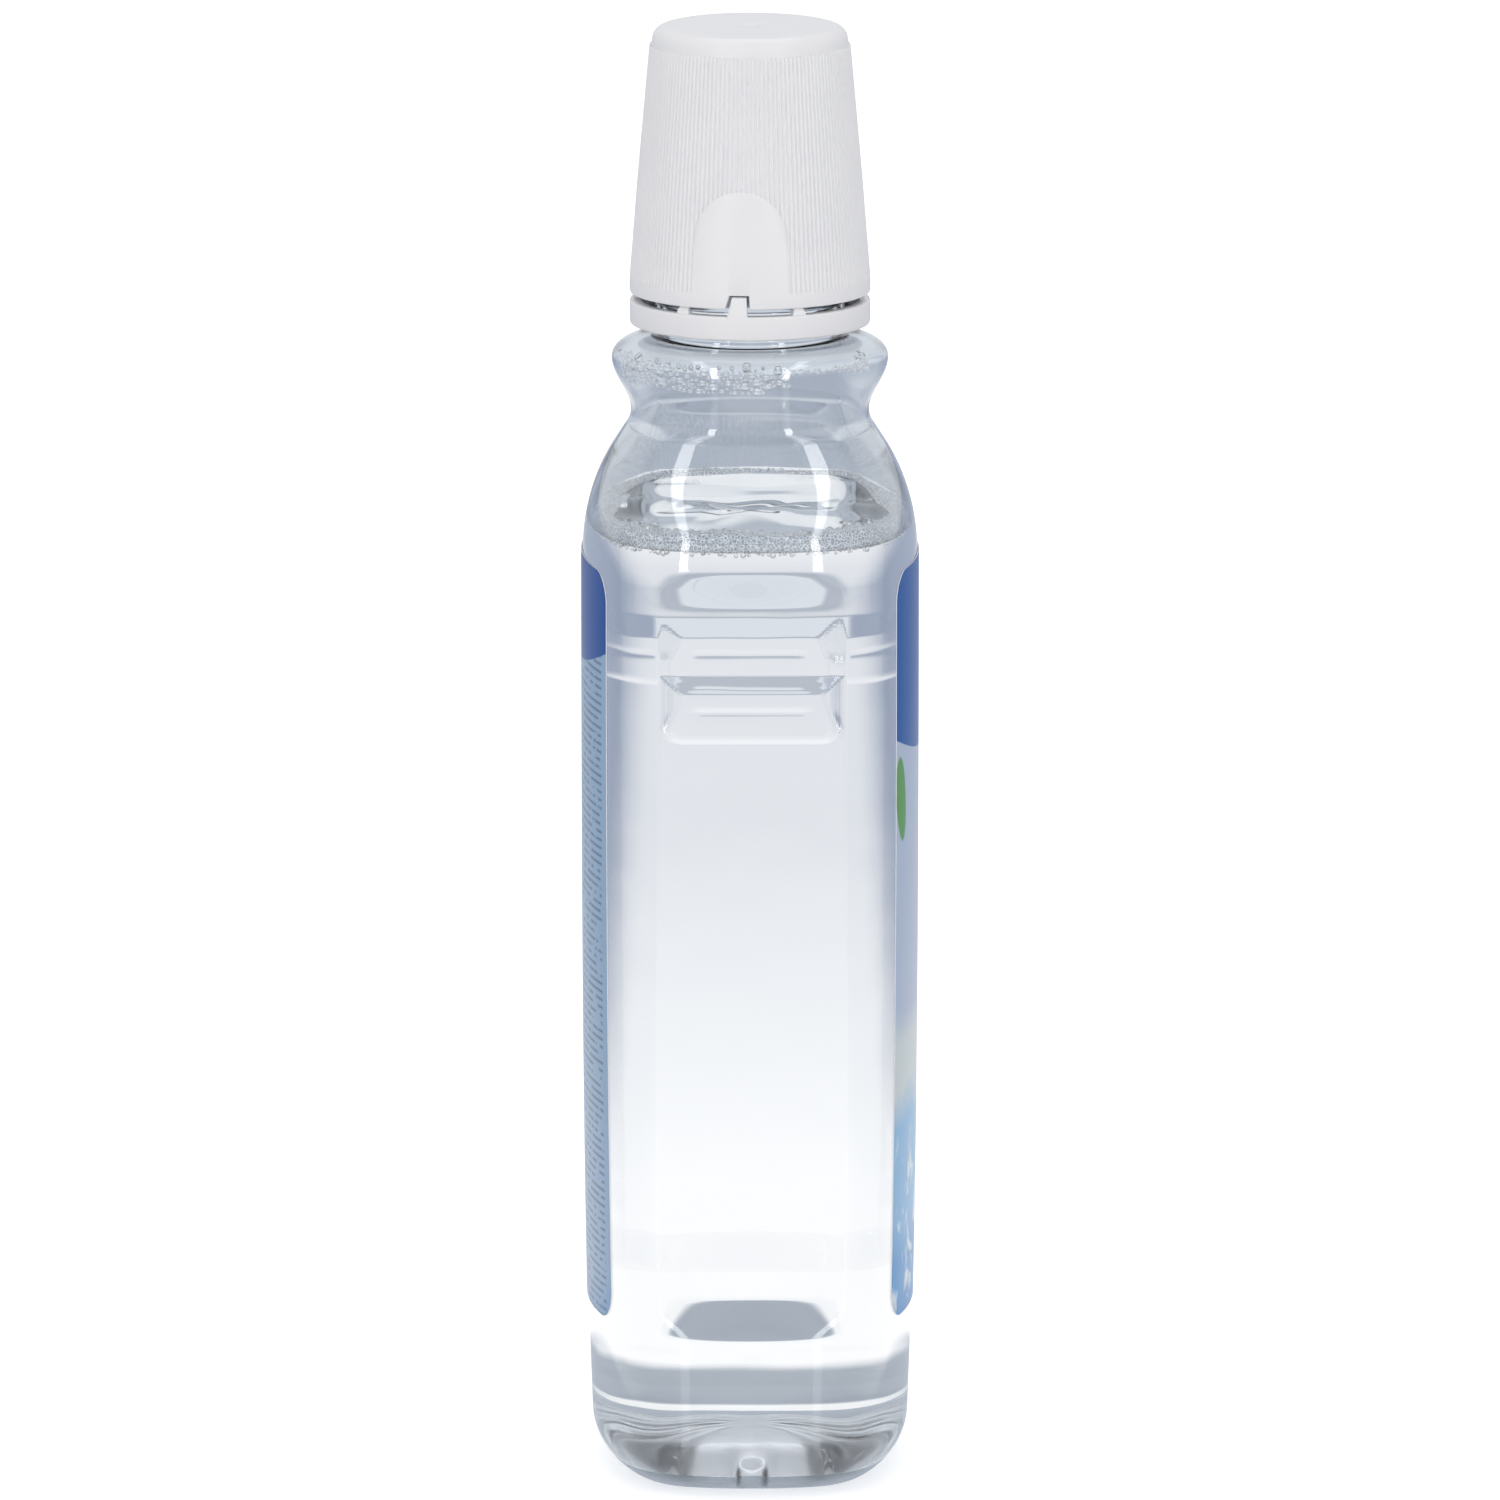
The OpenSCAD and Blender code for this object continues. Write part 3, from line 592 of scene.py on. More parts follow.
# A bubble's thin watery skin bends light less than solid water does, so its IOR is taken as 1.22.
# Its middle is clear, and towards its rim the skin scatters light and looks white.
BUBBLE_IOR = 1.22
bubble_film, tree = new_material("froth_film")
skin = add(tree, "BsdfPrincipled", Base_Color=linear("#FFFFFF"), Roughness=0.0, IOR=BUBBLE_IOR,
           Transmission_Weight=1.0)
lit_through = add(tree, "BsdfTranslucent", Color=linear("#FFFFFF"))
lit_on = add(tree, "BsdfDiffuse", Color=linear("#FFFFFF"))
haze = add(tree, "MixShader", _0=0.5, _1=lit_through.outputs[0], _2=lit_on.outputs[0])
facing = add(tree, "LayerWeight", Blend=0.5).outputs["Facing"]
amount = add(tree, "MapRange", Value=facing, From_Min=0.3, From_Max=0.9, To_Min=0.12, To_Max=0.75)
skin = add(tree, "MixShader", _0=amount.outputs[0], _1=skin.outputs[0], _2=haze.outputs[0])
finish_clear(tree, skin)

# The finest froth is white where the skins of its bubbles meet and lets the liquid show through
# their middles. Its bubbles are about 0.55 mm across.
fine_froth, tree = new_material("fine_froth")
place = add(tree, "TexCoord").outputs["Object"]
cells = add(tree, "TexVoronoi", {"feature": "DISTANCE_TO_EDGE"}, Vector=place, Scale=1 / (0.55 * MM))
skins = add(tree, "MapRange", Value=cells.outputs["Distance"], From_Min=0.02, From_Max=0.14)
shade = add(tree, "MixRGB", Fac=skins.outputs[0], Color1=linear("#FFFFFF"), Color2=linear("#BEC6D0"))
domes = add(tree, "Bump", Height=cells.outputs["Distance"], Strength=0.8, Distance=0.25 * MM)
solid = add(tree, "BsdfPrincipled", Base_Color=shade.outputs[0], Roughness=0.12, IOR=WATER_IOR,
            Normal=domes.outputs["Normal"])
passing = add(tree, "BsdfTransparent", Color=(1, 1, 1, 1))
thin = add(tree, "MapRange", Value=skins.outputs[0], To_Min=0.05, To_Max=0.55)
both = add(tree, "MixShader", _0=thin.outputs[0], _1=solid.outputs[0], _2=passing.outputs[0])
add(tree, "OutputMaterial", Surface=both.outputs[0])

bed = froth_bed()
bed.data.materials.append(fine_froth)
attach(bed, "bottle")
surface_froth = froth("surface_bubbles", settled(5200, pick_surface, 0.9))
collar_froth = froth("collar_bubbles", settled(2000, pick_collar, 0.92))
for piece, stood in ((surface_froth, "surface_froth"), (collar_froth, "collar_froth")):
    piece.data.materials.append(bubble_film)
    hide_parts(stood)
    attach(piece, "bottle")


# The labels are white polypropylene film, printed outside and stuck to the two wide faces. The
# print is glossy, in plain fields of blue, and the film is die-cut with round corners.
LABEL_W = 52.0
LABEL_Z = 27.0
LABEL_H = 123.5
LABEL_R = 5.0
LABEL_GAP = 0.1  # filled by the adhesive
LABEL_T = 0.15
PP_IOR = 1.49

FIELD_WANDER = 9  # the edges between the colour fields wander by up to this
BLEND_FROM = 1.5  # a field starts to give way this far above its height
BLEND_TO = 7.5  # and has given way this far above it
HEADER_BOW = 6.5  # curve of the header's foot, per metre
HEADER_SOFT = 0.08
LEAF_Z = 113
LEAF_LEAN = 0.12
LEAF_HALF_W = 2.6
LEAF_HALF_H = 7
LINE_STEP = 2.1
WORD_L = 2.4
PRINT_FULL = 23.6  # the print is whole up to this far from the middle
PRINT_END = 24


def label_sheet(name, side):
    """The film as a closed sheet that follows the wall, and which of its faces are printed."""
    across = np.concatenate([[-1, -0.985], np.linspace(-0.96, 0.96, 33), [0.985, 1]])
    ends = np.concatenate([[0, 0.06, 0.2], np.linspace(0.4, LABEL_R, 12)])
    middle = np.linspace(LABEL_R, LABEL_H - LABEL_R, 42)[1:-1]
    heights = np.concatenate([ends, middle, LABEL_H - ends[::-1]])
    sweep = np.radians(np.linspace(30, 150, 400))
    grids = []
    for off in (LABEL_GAP + LABEL_T, LABEL_GAP):
        grid = []
        for h in heights:
            z = LABEL_Z + h
            r = reach(body_ring(min(z, SHOULDER_Z), -off), sweep)
            wall_x, wall_y = r * np.cos(sweep), r * np.sin(sweep)
            inset = max(0.0, LABEL_R - min(h, LABEL_H - h))
            x = across * (LABEL_W / 2 - LABEL_R + math.sqrt(LABEL_R**2 - inset**2))
            order = np.argsort(wall_x)
            y = np.interp(x, wall_x[order], wall_y[order])
            grid.append(np.stack([x * side, y * side, np.full(len(x), z)], axis=1))
        grids.append(np.array(grid))
    rows_n, cols_n = len(heights), len(across)
    per_layer = rows_n * cols_n

    def at(layer, row, column):
        return layer * per_layer + row * cols_n + column

    faces = []
    for i in range(rows_n - 1):
        for k in range(cols_n - 1):
            faces.append((at(0, i, k), at(0, i + 1, k), at(0, i + 1, k + 1), at(0, i, k + 1)))
            faces.append((at(1, i, k), at(1, i, k + 1), at(1, i + 1, k + 1), at(1, i + 1, k)))
        for k in (0, cols_n - 1):
            quad = (at(0, i, k), at(1, i, k), at(1, i + 1, k), at(0, i + 1, k))
            faces.append(quad if k == 0 else quad[::-1])
    for k in range(cols_n - 1):
        for i in (0, rows_n - 1):
            quad = (at(0, i, k), at(0, i, k + 1), at(1, i, k + 1), at(1, i, k))
            faces.append(quad if i == 0 else quad[::-1])
    layers = [{v // per_layer for v in face} for face in faces]
    verts = np.concatenate([g.reshape(-1, 3) for g in grids]) * MM
    piece = new_piece(name, verts.tolist(), faces, [len(layer) == 1 for layer in layers])
    return piece, [layer == {0} for layer in layers]


def leaves_and_foam(tree, place, x, z, colour):
    """The front's picture: two slim leaves under the header, and foam on the water at the foot."""
    lean = add(tree, "Math", {"operation": "MULTIPLY_ADD"}, _0=z, _1=LEAF_LEAN, _2=x).outputs[0]
    along = add(tree, "Math", {"operation": "SUBTRACT"}, _0=z, _1=LEAF_Z * MM).outputs[0]
    size = (1 / LEAF_HALF_W / MM, 0, 1 / LEAF_HALF_H / MM)
    for middle, code in ((-23.5, "#5E9F55"), (14.0, "#7DB56A")):
        leaf_x = (middle + LEAF_LEAN * LEAF_Z) * MM
        aside = add(tree, "Math", {"operation": "SUBTRACT"}, _0=lean, _1=leaf_x).outputs[0]
        leaf = add(tree, "CombineXYZ", X=aside, Y=0.0, Z=along).outputs[0]
        leaf = add(tree, "VectorMath", {"operation": "MULTIPLY"}, _0=leaf, _1=size).outputs[0]
        from_mid = add(tree, "VectorMath", {"operation": "LENGTH"}, _0=leaf).outputs["Value"]
        share = add(tree, "MapRange", Value=from_mid, From_Min=1.04, From_Max=0.96).outputs[0]
        colour = add(tree, "MixRGB", Fac=share, Color1=colour, Color2=linear(code)).outputs[0]
    flecks = add(tree, "TexNoise", Vector=place, Scale=1 / (7 * MM), Detail=4.0, Distortion=0.6)
    spray = add(tree, "MapRange", Value=flecks.outputs["Fac"], From_Min=0.56, From_Max=0.66).outputs[0]
    low = add(tree, "MapRange", Value=z, From_Min=66 * MM, From_Max=52 * MM).outputs[0]
    share = add(tree, "Math", {"operation": "MULTIPLY"}, _0=spray, _1=low).outputs[0]
    return add(tree, "MixRGB", Fac=share, Color1=colour, Color2=linear("#DDE8F2")).outputs[0]


def small_print(tree, place, x, z, colour):
    """The back's picture: rows of fine rules with gaps, where such films have small print."""
    rules = add(tree, "TexWave", {"bands_direction": "Z"}, Vector=place,
                Scale=1 / (LINE_STEP * MM) / 2, Distortion=0.0)
    words = add(tree, "TexNoise", Vector=place, Scale=1 / (WORD_L * MM), Detail=1.0)
    aside = add(tree, "Math", {"operation": "ABSOLUTE"}, _0=x).outputs[0]
    lines = 1.0
    for value, low, high in (
        (rules.outputs["Fac"], 0.62, 0.74),
        (words.outputs["Fac"], 0.42, 0.47),
        (aside, PRINT_END * MM, PRINT_FULL * MM),
    ):
        share = add(tree, "MapRange", Value=value, From_Min=low, From_Max=high).outputs[0]
        lines = add(tree, "Math", {"operation": "MULTIPLY"}, _0=lines, _1=share).outputs[0]
    share = add(tree, "Math", {"operation": "MULTIPLY"}, _0=lines, _1=0.6).outputs[0]
    return add(tree, "MixRGB", Fac=share, Color1=colour, Color2=linear("#37506F")).outputs[0]


def printed_film(name, top, fields, picture, header, header_z):
    """Glossy ink on film: fields that follow one another downwards, a picture, and a header on top."""
    made, tree = new_material(name)
    place = add(tree, "TexCoord").outputs["Object"]
    split = add(tree, "SeparateXYZ", Vector=place)
    x, z = split.outputs["X"], split.outputs["Z"]
    noise = add(tree, "TexNoise", Vector=place, Scale=1 / (16 * MM), Detail=2.0).outputs["Fac"]
    drift = add(tree, "Math", {"operation": "MULTIPLY_ADD"}, _0=noise, _1=FIELD_WANDER * MM, _2=z)
    colour = linear(top)
    for height, code in fields:
        share = add(tree, "MapRange", Value=drift.outputs[0], From_Min=(height + BLEND_FROM) * MM,
                    From_Max=(height + BLEND_TO) * MM)
        colour = add(tree, "MixRGB", Fac=share.outputs[0], Color1=linear(code), Color2=colour).outputs[0]
    colour = picture(tree, place, x, z, colour)
    # The header's foot is an arch
    bow = add(tree, "Math", {"operation": "MULTIPLY"}, _0=x, _1=x).outputs[0]
    arch = add(tree, "Math", {"operation": "MULTIPLY_ADD"}, _0=bow, _1=-HEADER_BOW, _2=z).outputs[0]
    share = add(tree, "MapRange", Value=arch, From_Min=(header_z - HEADER_SOFT) * MM,
                From_Max=(header_z + HEADER_SOFT) * MM).outputs[0]
    colour = add(tree, "MixRGB", Fac=share, Color1=colour, Color2=linear(header)).outputs[0]
    ink = add(tree, "BsdfPrincipled", Base_Color=colour, Roughness=0.3, IOR=PP_IOR,
              Specular_IOR_Level=0.12)
    add(tree, "OutputMaterial", Surface=ink.outputs[0])
    return made


# The back of the film is unprinted and matt, white with a faint grain of adhesive
film_back, tree = new_material("label_film_back")
place = add(tree, "TexCoord").outputs["Object"]
grain = add(tree, "TexNoise", Vector=place, Scale=1 / (3 * MM), Detail=3.0)
shade = add(tree, "MixRGB", Fac=grain.outputs["Fac"], Color1=linear("#E6EAF0"), Color2=linear("#F4F6F9"))
back = add(tree, "BsdfPrincipled", Base_Color=shade.outputs[0], Roughness=0.45, IOR=PP_IOR)
add(tree, "OutputMaterial", Surface=back.outputs[0])

front_fields = [(74, "#CFDADC"), (62, "#8FBFE6"), (40, "#6AA4DA"), (29, "#4C88CB")]
back_fields = [(60, "#98B4D2"), (30, "#7FA6CF")]
front_print = printed_film("front_label_print", "#B4C3DA", front_fields, leaves_and_foam, "#0B57A6", 118.6)
back_print = printed_film("back_label_print", "#96B3D0", back_fields, small_print, "#0C4C9C", 133.0)
for name, side, node, print_, slot_name in (
    ("front_label_sheet", -1, "front_label", front_print, "front_film"),
    ("back_label_sheet", 1, "back_label", back_print, "back_film"),
):
    sheet, printed = label_sheet(name, side)
    sheet.data.materials.append(print_)
    sheet.data.materials.append(film_back)
    sheet.data.polygons.foreach_set("material_index", [0 if inked else 1 for inked in printed])
    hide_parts(node)
    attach(sheet, "bottle")


# The dosing cap is injection-moulded from white polypropylene and screws on over the neck. Fine
# upright ribs give grip, two smooth arched panels take the thumb, and the upper half is hollow so
# that it serves as a cup.
CAP_H = 43.6
CAP_R = 19.6
CAP_TOP_R = 16.35
CAP_BELLY = 0.1  # how far the side swells out past a straight taper
HEM_H = 2.4
CROWN_H = 3.0
CROWN_R = 2.2
CROWN_IN = 0.1  # how far the crown stands in behind the foot of the grooves
RIB_N = 144
RIB_D = 0.32
RIB_STEPS = 8  # points over one rib and its groove
CUP_T = 1.3
CUP_EDGE = 1.2
THREAD_GAP = 0.25
CREST_H = 1.3
LIP_R = 14.2
LIP_T = 0.5
LIP_GAP = 0.15
LIP_SLOPE = 0.8
THUMB_W = 15.7
THUMB_H = 16.6
CAP_TURN = 5.5  # turn of the cap on the neck, in degrees from the middle of the narrow side
EDGE = 0.3  # rounding of the edges of the cap and the band
EDGE_MID = 0.09  # how far the middle of that rounding lies in from each face

# The cap stands on the slot over the tamper band, and its notches go round the band's tabs
BAND_H = 4.0
BAND_T = 1.9
BAND_GAP = 1.9
BAND_EDGE = 0.5
SLOT_H = 1.2
TAB_N = 3
TAB_W = 3.3
TAB_SLANT = 0.8  # how much narrower a tab is at its top
TAB_BACK = 0.4  # how far it stands back from its middle line
TAB_GAP = 0.4

BAND_Z = COLLAR_TOP + BAND_GAP
BAND_TOP = BAND_Z + BAND_H
CAP_Z = BAND_TOP + SLOT_H
CAP_TOP = CAP_Z + CAP_H
HEM_TOP = CAP_Z + HEM_H
RIB_TOP = CAP_TOP - CROWN_H
BELLY_Z = HEM_TOP + THUMB_H + 1
SKIRT_R = NECK_R + CREST_H + THREAD_GAP
LIP_Z = RIM_Z + LIP_GAP
CUP_TOP = CAP_TOP - CUP_T
CUP_R = CAP_TOP_R - RIB_D - CUP_T
FACING = math.radians(180 - CAP_TURN)

cap_turns = np.arange(RIB_N * RIB_STEPS) * 2 * math.pi / (RIB_N * RIB_STEPS)


def from_facing(turns, copies):
    """Angle from the nearest of the places that repeat round the cap, starting at its front."""
    step = 2 * math.pi / copies
    return (turns - FACING + step / 2) % step - step / 2


def cone_r(z):
    """Radius over the ribs at a height."""
    straight = mix(CAP_R, CAP_TOP_R, (z - HEM_TOP) / (RIB_TOP - HEM_TOP))
    below = (z - HEM_TOP) / (BELLY_Z - HEM_TOP)
    above = (RIB_TOP - z) / (RIB_TOP - BELLY_Z)
    return straight + CAP_BELLY * np.clip(np.minimum(below, above), 0, 1)


def tab_edge(turns, grow, low, high):
    """Height of an edge that steps from low to high over each slanted ratchet tab."""
    off = -from_facing(turns, TAB_N) * CAP_R
    left = -TAB_W / 2 + TAB_BACK - grow
    right = TAB_W / 2 + TAB_BACK + grow
    rise = np.clip((off - left) / 0.05, 0, 1) * np.clip((right - off) / TAB_SLANT, 0, 1)
    return mix(low, high, rise)


arch_off = np.abs(from_facing(cap_turns, 2)) * (CAP_R - 0.7)
arch_r = THUMB_W / 2
in_arch = arch_off < arch_r
arch_top = HEM_TOP + THUMB_H - arch_r + np.sqrt(np.maximum(arch_r**2 - arch_off**2, 0))
rib_foot = np.where(in_arch, arch_top, HEM_TOP)
phase = (np.arange(len(cap_turns)) % RIB_STEPS) / RIB_STEPS
groove = RIB_D * np.clip(1.5 * (0.5 + 0.5 * np.cos(2 * math.pi * phase)) - 0.35, 0, 1)
hem_foot = tab_edge(cap_turns, TAB_GAP, CAP_Z, HEM_TOP - 0.1)
crown_out = CAP_TOP_R - RIB_D - CROWN_IN

# The cap's section is given as radii and heights, which may change from point to point round it.
# From the moulding mark in the middle of the top, over the rounded edge and down the crown
section = [(1.2, CAP_TOP - 0.25), (1.5, CAP_TOP - 0.02), (3, CAP_TOP), (7, CAP_TOP), (11, CAP_TOP)]
section += [(crown_out - CROWN_R * (1 - math.cos(u)), CAP_TOP - CROWN_R * (1 - math.sin(u)))
            for u in np.radians(np.linspace(90, 0, 12))]
section += [(crown_out, RIB_TOP + 0.12), (crown_out + 0.05, RIB_TOP + 0.02),
            (CAP_TOP_R - groove - 0.05, RIB_TOP)]
# Down the ribs to their foot, which is the hem or the arch of a thumb panel
for share in (0.004, 0.15, 0.3, 0.45, 0.6, 0.75, 0.9, 0.995):
    z = mix(RIB_TOP, rib_foot + 0.06, share)
    section.append((cone_r(z) - groove, z))
panel_top = np.maximum(rib_foot - 0.06, HEM_TOP - 0.06)
section.append((cone_r(rib_foot) - 0.02, rib_foot))
section.append((cone_r(panel_top), panel_top))
# Down the thumb panel and the hem, round the hem's edge and in under it
for share in (0.35, 0.7, 1.0):
    z = mix(panel_top, HEM_TOP - 0.08, share)
    section.append((np.where(in_arch, cone_r(z), CAP_R), z))
section += [(CAP_R, hem_foot + np.minimum(EDGE, HEM_TOP - 0.09 - hem_foot)),
            (CAP_R - EDGE_MID, hem_foot + np.minimum(EDGE_MID, HEM_TOP - 0.095 - hem_foot)),
            (CAP_R - EDGE, hem_foot), (SKIRT_R + 0.2, hem_foot), (SKIRT_R, hem_foot + 0.2)]
# Up inside: the skirt with its thread, the seat for the neck's rim, the sealing lip and the cup
for z in np.arange(HEM_TOP + 0.4, LIP_Z - 0.6, 0.4):
    section.append((SKIRT_R - thread_height(cap_turns, z, THREAD_Z + THREAD_PITCH / 2, THREAD_H), z))
mouth_z = LIP_Z + LIP_T + LIP_SLOPE
mouth_r = float(cone_r(mouth_z)) - RIB_D - CUP_T
section += [(SKIRT_R, LIP_Z - 0.4), (SKIRT_R - 0.1, LIP_Z - LIP_GAP), (LIP_R + 0.1, LIP_Z),
            (LIP_R, LIP_Z + 0.1), (LIP_R, LIP_Z + LIP_T), (mouth_r - 0.1, mouth_z - 0.05),
            (mouth_r, mouth_z + 0.1)]
section += [(mix(mouth_r, CUP_R, t), mix(mouth_z, CUP_TOP - CUP_EDGE, t))
            for t in np.linspace(0.05, 1, 8)]
section += [(CUP_R - CUP_EDGE * (1 - math.cos(u)), CUP_TOP - CUP_EDGE * (1 - math.sin(u)))
            for u in np.radians((20, 40, 60, 80, 90))]
section += [(9, CUP_TOP), (4, CUP_TOP)]
cap = stack("dosing_cap_shell", [circle_row(cap_turns, r, z)[::-1] for r, z in section],
            first=(0, 0, CAP_TOP - 0.3), last=(0, 0, CUP_TOP))


def moulded_white(name, code, glow):
    """White polypropylene: satin from the mould's spark finish, and a little see-through where thin."""
    made, tree = new_material(name)
    place = add(tree, "TexCoord").outputs["Object"]
    # The spark finish is about 0.1 mm; it is drawn at 0.35 mm so that it shows at all
    spark = add(tree, "TexNoise", Vector=place, Scale=1 / (0.35 * MM), Detail=2.0)
    cloud = add(tree, "TexNoise", Vector=place, Scale=1 / (9 * MM), Detail=2.0)
    relief = add(tree, "Bump", Height=spark.outputs["Fac"], Strength=0.04, Distance=0.03 * MM)
    shade = add(tree, "MixRGB", Fac=cloud.outputs["Fac"], Color1=linear(code), Color2=linear(glow))
    rough = add(tree, "MapRange", Value=cloud.outputs["Fac"], To_Min=0.3, To_Max=0.4)
    plastic = add(tree, "BsdfPrincipled", Base_Color=shade.outputs[0], Roughness=rough.outputs[0],
                  IOR=PP_IOR, Subsurface_Weight=0.06, Subsurface_Radius=(1.0, 1.0, 1.05),
                  Subsurface_Scale=0.3 * MM, Normal=relief.outputs["Normal"])
    add(tree, "OutputMaterial", Surface=plastic.outputs[0])
    return made


white_pp = moulded_white("white_polypropylene", "#F0F0F2", "#F5F5F6")
cap.data.materials.append(white_pp)
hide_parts("dosing_cap")
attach(cap, "cap")


# The tamper band was moulded with the cap and hangs under the neck's bead on its snap flange.
# Its three ratchet tabs stand in the cap's notches, and its thin ties broke at first opening.
FLANGE_R = 15.9
FLANGE_H = 0.8
TIE_N = 6
TIE_W = 2.6
TIE_T = 1.1
TIE_GAP = 0.08  # left between the broken end and the cap
TIE_COLUMNS = 7
TIE_ROW = 2 * TIE_COLUMNS

band_in = CAP_R - BAND_T
band_top = tab_edge(cap_turns, 0, BAND_TOP, HEM_TOP - TAB_GAP)
# From the flange's inner edge out under the band, up its side, over its top and back inside
band_section = [
    (FLANGE_R, BAND_Z + 0.1),
    (FLANGE_R + 0.1, BAND_Z),
    (CAP_R - BAND_EDGE, BAND_Z),
    (CAP_R - BAND_EDGE * 0.3, BAND_Z + BAND_EDGE * 0.3),
    (CAP_R, BAND_Z + BAND_EDGE),
    (CAP_R, BAND_TOP - 0.45),
    (CAP_R, band_top - EDGE),
    (CAP_R - EDGE_MID, band_top - EDGE_MID),
    (CAP_R - EDGE, band_top),
    (band_in + 0.15, band_top),
    (band_in, band_top - 0.15),
    (band_in, BAND_Z + FLANGE_H + BAND_EDGE),
    (FLANGE_R + 0.1, BAND_Z + FLANGE_H),
    (FLANGE_R, BAND_Z + FLANGE_H - 0.1),
]
band = stack("tamper_band_ring", [circle_row(cap_turns, r, z) for r, z in band_section], loop=True)
band.data.materials.append(white_pp)
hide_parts("tamper_band")
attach(band, "band")

# Each tie narrows towards the cap and ends in a pale torn edge. A level is a height, and shares of
# the tie's width and thickness.
tie_levels = ((BAND_TOP - 0.2, 1.0, 1.0), (BAND_TOP + 0.35, 0.86, 0.9), (BAND_TOP + 0.8, 0.72, 0.7),
              (BAND_TOP + SLOT_H - TIE_GAP, 0.66, 0.5))
tie_points, tie_faces = [], []
for k in range(TIE_N):
    mid = FACING + 2 * math.pi * (k + 0.5) / TIE_N
    base = len(tie_points)
    top = base + (len(tie_levels) - 1) * TIE_ROW
    for z, wide, thick in tie_levels:
        for i in range(TIE_COLUMNS):
            across = (i / (TIE_COLUMNS - 1) - 0.5) * TIE_W * wide
            ragged = dice.uniform(-0.12, 0) if z > BAND_TOP + 1 else 0
            turn = mid + across / CAP_R
            for r in (band_in + 0.3, band_in + 0.3 + TIE_T * thick):
                tie_points.append((r * math.cos(turn) * MM, r * math.sin(turn) * MM, (z + ragged) * MM))
    for row in range(base, top, TIE_ROW):
        last = row + TIE_ROW - 2
        for a in range(row, last, 2):
            b = a + TIE_ROW
            tie_faces += [(a, b, b + 2, a + 2), (a + 1, a + 3, b + 3, b + 1)]
        tie_faces.append((row, row + 1, row + TIE_ROW + 1, row + TIE_ROW))
        tie_faces.append((last + TIE_ROW, last + TIE_ROW + 1, last + 1, last))
    for step in range(0, TIE_ROW - 2, 2):
        a, b = base + step, top + step
        tie_faces += [(a, a + 2, a + 3, a + 1), (b, b + 1, b + 3, b + 2)]
ties = new_piece("broken_ties", tie_points, tie_faces, [False] * len(tie_faces))
# Torn polypropylene whitens, so the ties are a little paler than the band
ties.data.materials.append(moulded_white("torn_polypropylene", "#F4F5F8", "#FFFFFF"))
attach(ties, "band")


# The floor is a plain pale sheet under plain soft studio light. The camera sees it white, with the bottle's
# shadow on it. Clear plastic and gloss see it glow instead, in a colour with painted shade, greyer farther
# out.
FLOOR_SIZE = 8
FLOOR_DROP = 0.0002
NEAR_GLOW = 0.42  # what the floor adds of its own near the bottle, so that the shadow stays
FAR_GLOW = 0.7
bpy.ops.mesh.primitive_plane_add(size=FLOOR_SIZE, location=(0, 0, -FLOOR_DROP))
floor = bpy.context.object
floor.name = "floor"
floor_look, tree = new_material("pale_floor")
place = add(tree, "TexCoord").outputs["Object"]
ray = add(tree, "LightPath").outputs
sheet = add(tree, "BsdfDiffuse", Color=linear("#F2F3F5"))
away = add(tree, "VectorMath", {"operation": "LENGTH"}, _0=place).outputs["Value"]
glow = add(tree, "MapRange", Value=away, From_Min=0.08, From_Max=0.5, To_Min=NEAR_GLOW, To_Max=FAR_GLOW)
lift = add(tree, "Emission", Color=(1, 1, 1, 1), Strength=glow.outputs[0])
lifted = add(tree, "AddShader", _0=sheet.outputs[0], _1=lift.outputs[0])
across = add(tree, "SeparateXYZ", Vector=place).outputs["Y"]
aside = add(tree, "Math", {"operation": "ABSOLUTE"}, _0=across).outputs[0]
# Painted shade: the colour that clear plastic sees is white at first and fades to the next one between each
# pair of distances, in metres
painted_shade_tone = linear("#FFFFFF")
for distance, blend, start, end, code in (
    (away, "LINEAR", 0.25, 0.58, "#E4E6EA"),
    (away, "SMOOTHSTEP", 0.72, 1.0, "#ADB4BF"),
    (away, "SMOOTHSTEP", 1.3, 1.6, "#DADFE5"),
    (aside, "SMOOTHSTEP", 0.1, 0.33, "#98A2B6"),
):
    fade = add(tree, "MapRange", {"interpolation_type": blend}, Value=distance,
               From_Min=start, From_Max=end)
    painted_shade_tone = add(tree, "MixRGB", Fac=fade.outputs[0], Color1=painted_shade_tone, Color2=linear(code)).outputs[0]
# Painted shadow: under the bottle and close round its foot, clear plastic sees the floor in a grey that
# stands in for its shade
foot = (BODY_W / 2 * MM, BODY_D / 2 * MM, 1)
apart = add(tree, "VectorMath", {"operation": "ABSOLUTE"}, _0=place).outputs[0]
apart = add(tree, "VectorMath", {"operation": "SUBTRACT"}, _0=apart, _1=foot).outputs[0]
apart = add(tree, "VectorMath", {"operation": "MAXIMUM"}, _0=apart, _1=(0, 0, 0)).outputs[0]
apart = add(tree, "VectorMath", {"operation": "LENGTH"}, _0=apart).outputs["Value"]
fade = add(tree, "MapRange", {"interpolation_type": "SMOOTHSTEP"}, Value=apart,
           From_Min=0.046, From_Max=0.058)
painted_shade_tone = add(tree, "MixRGB", Fac=fade.outputs[0], Color1=linear("#A6AEB8"), Color2=painted_shade_tone).outputs[0]
# Clear plastic and gloss see the floor as this glow, painted shade included
seen = add(tree, "Emission", Color=painted_shade_tone, Strength=1.0)
polish = add(tree, "BsdfGlossy", Color=(0.2, 0.2, 0.2, 1), Roughness=0.03)
shine = add(tree, "AddShader", _0=seen.outputs[0], _1=polish.outputs[0])
look = sheet
for kind, shown in (("Is Camera Ray", lifted), ("Is Glossy Ray", shine), ("Is Transmission Ray", seen)):
    look = add(tree, "MixShader", _0=ray[kind], _1=look.outputs[0], _2=shown.outputs[0])
add(tree, "OutputMaterial", Surface=look.outputs[0])
floor.data.materials.append(floor_look)

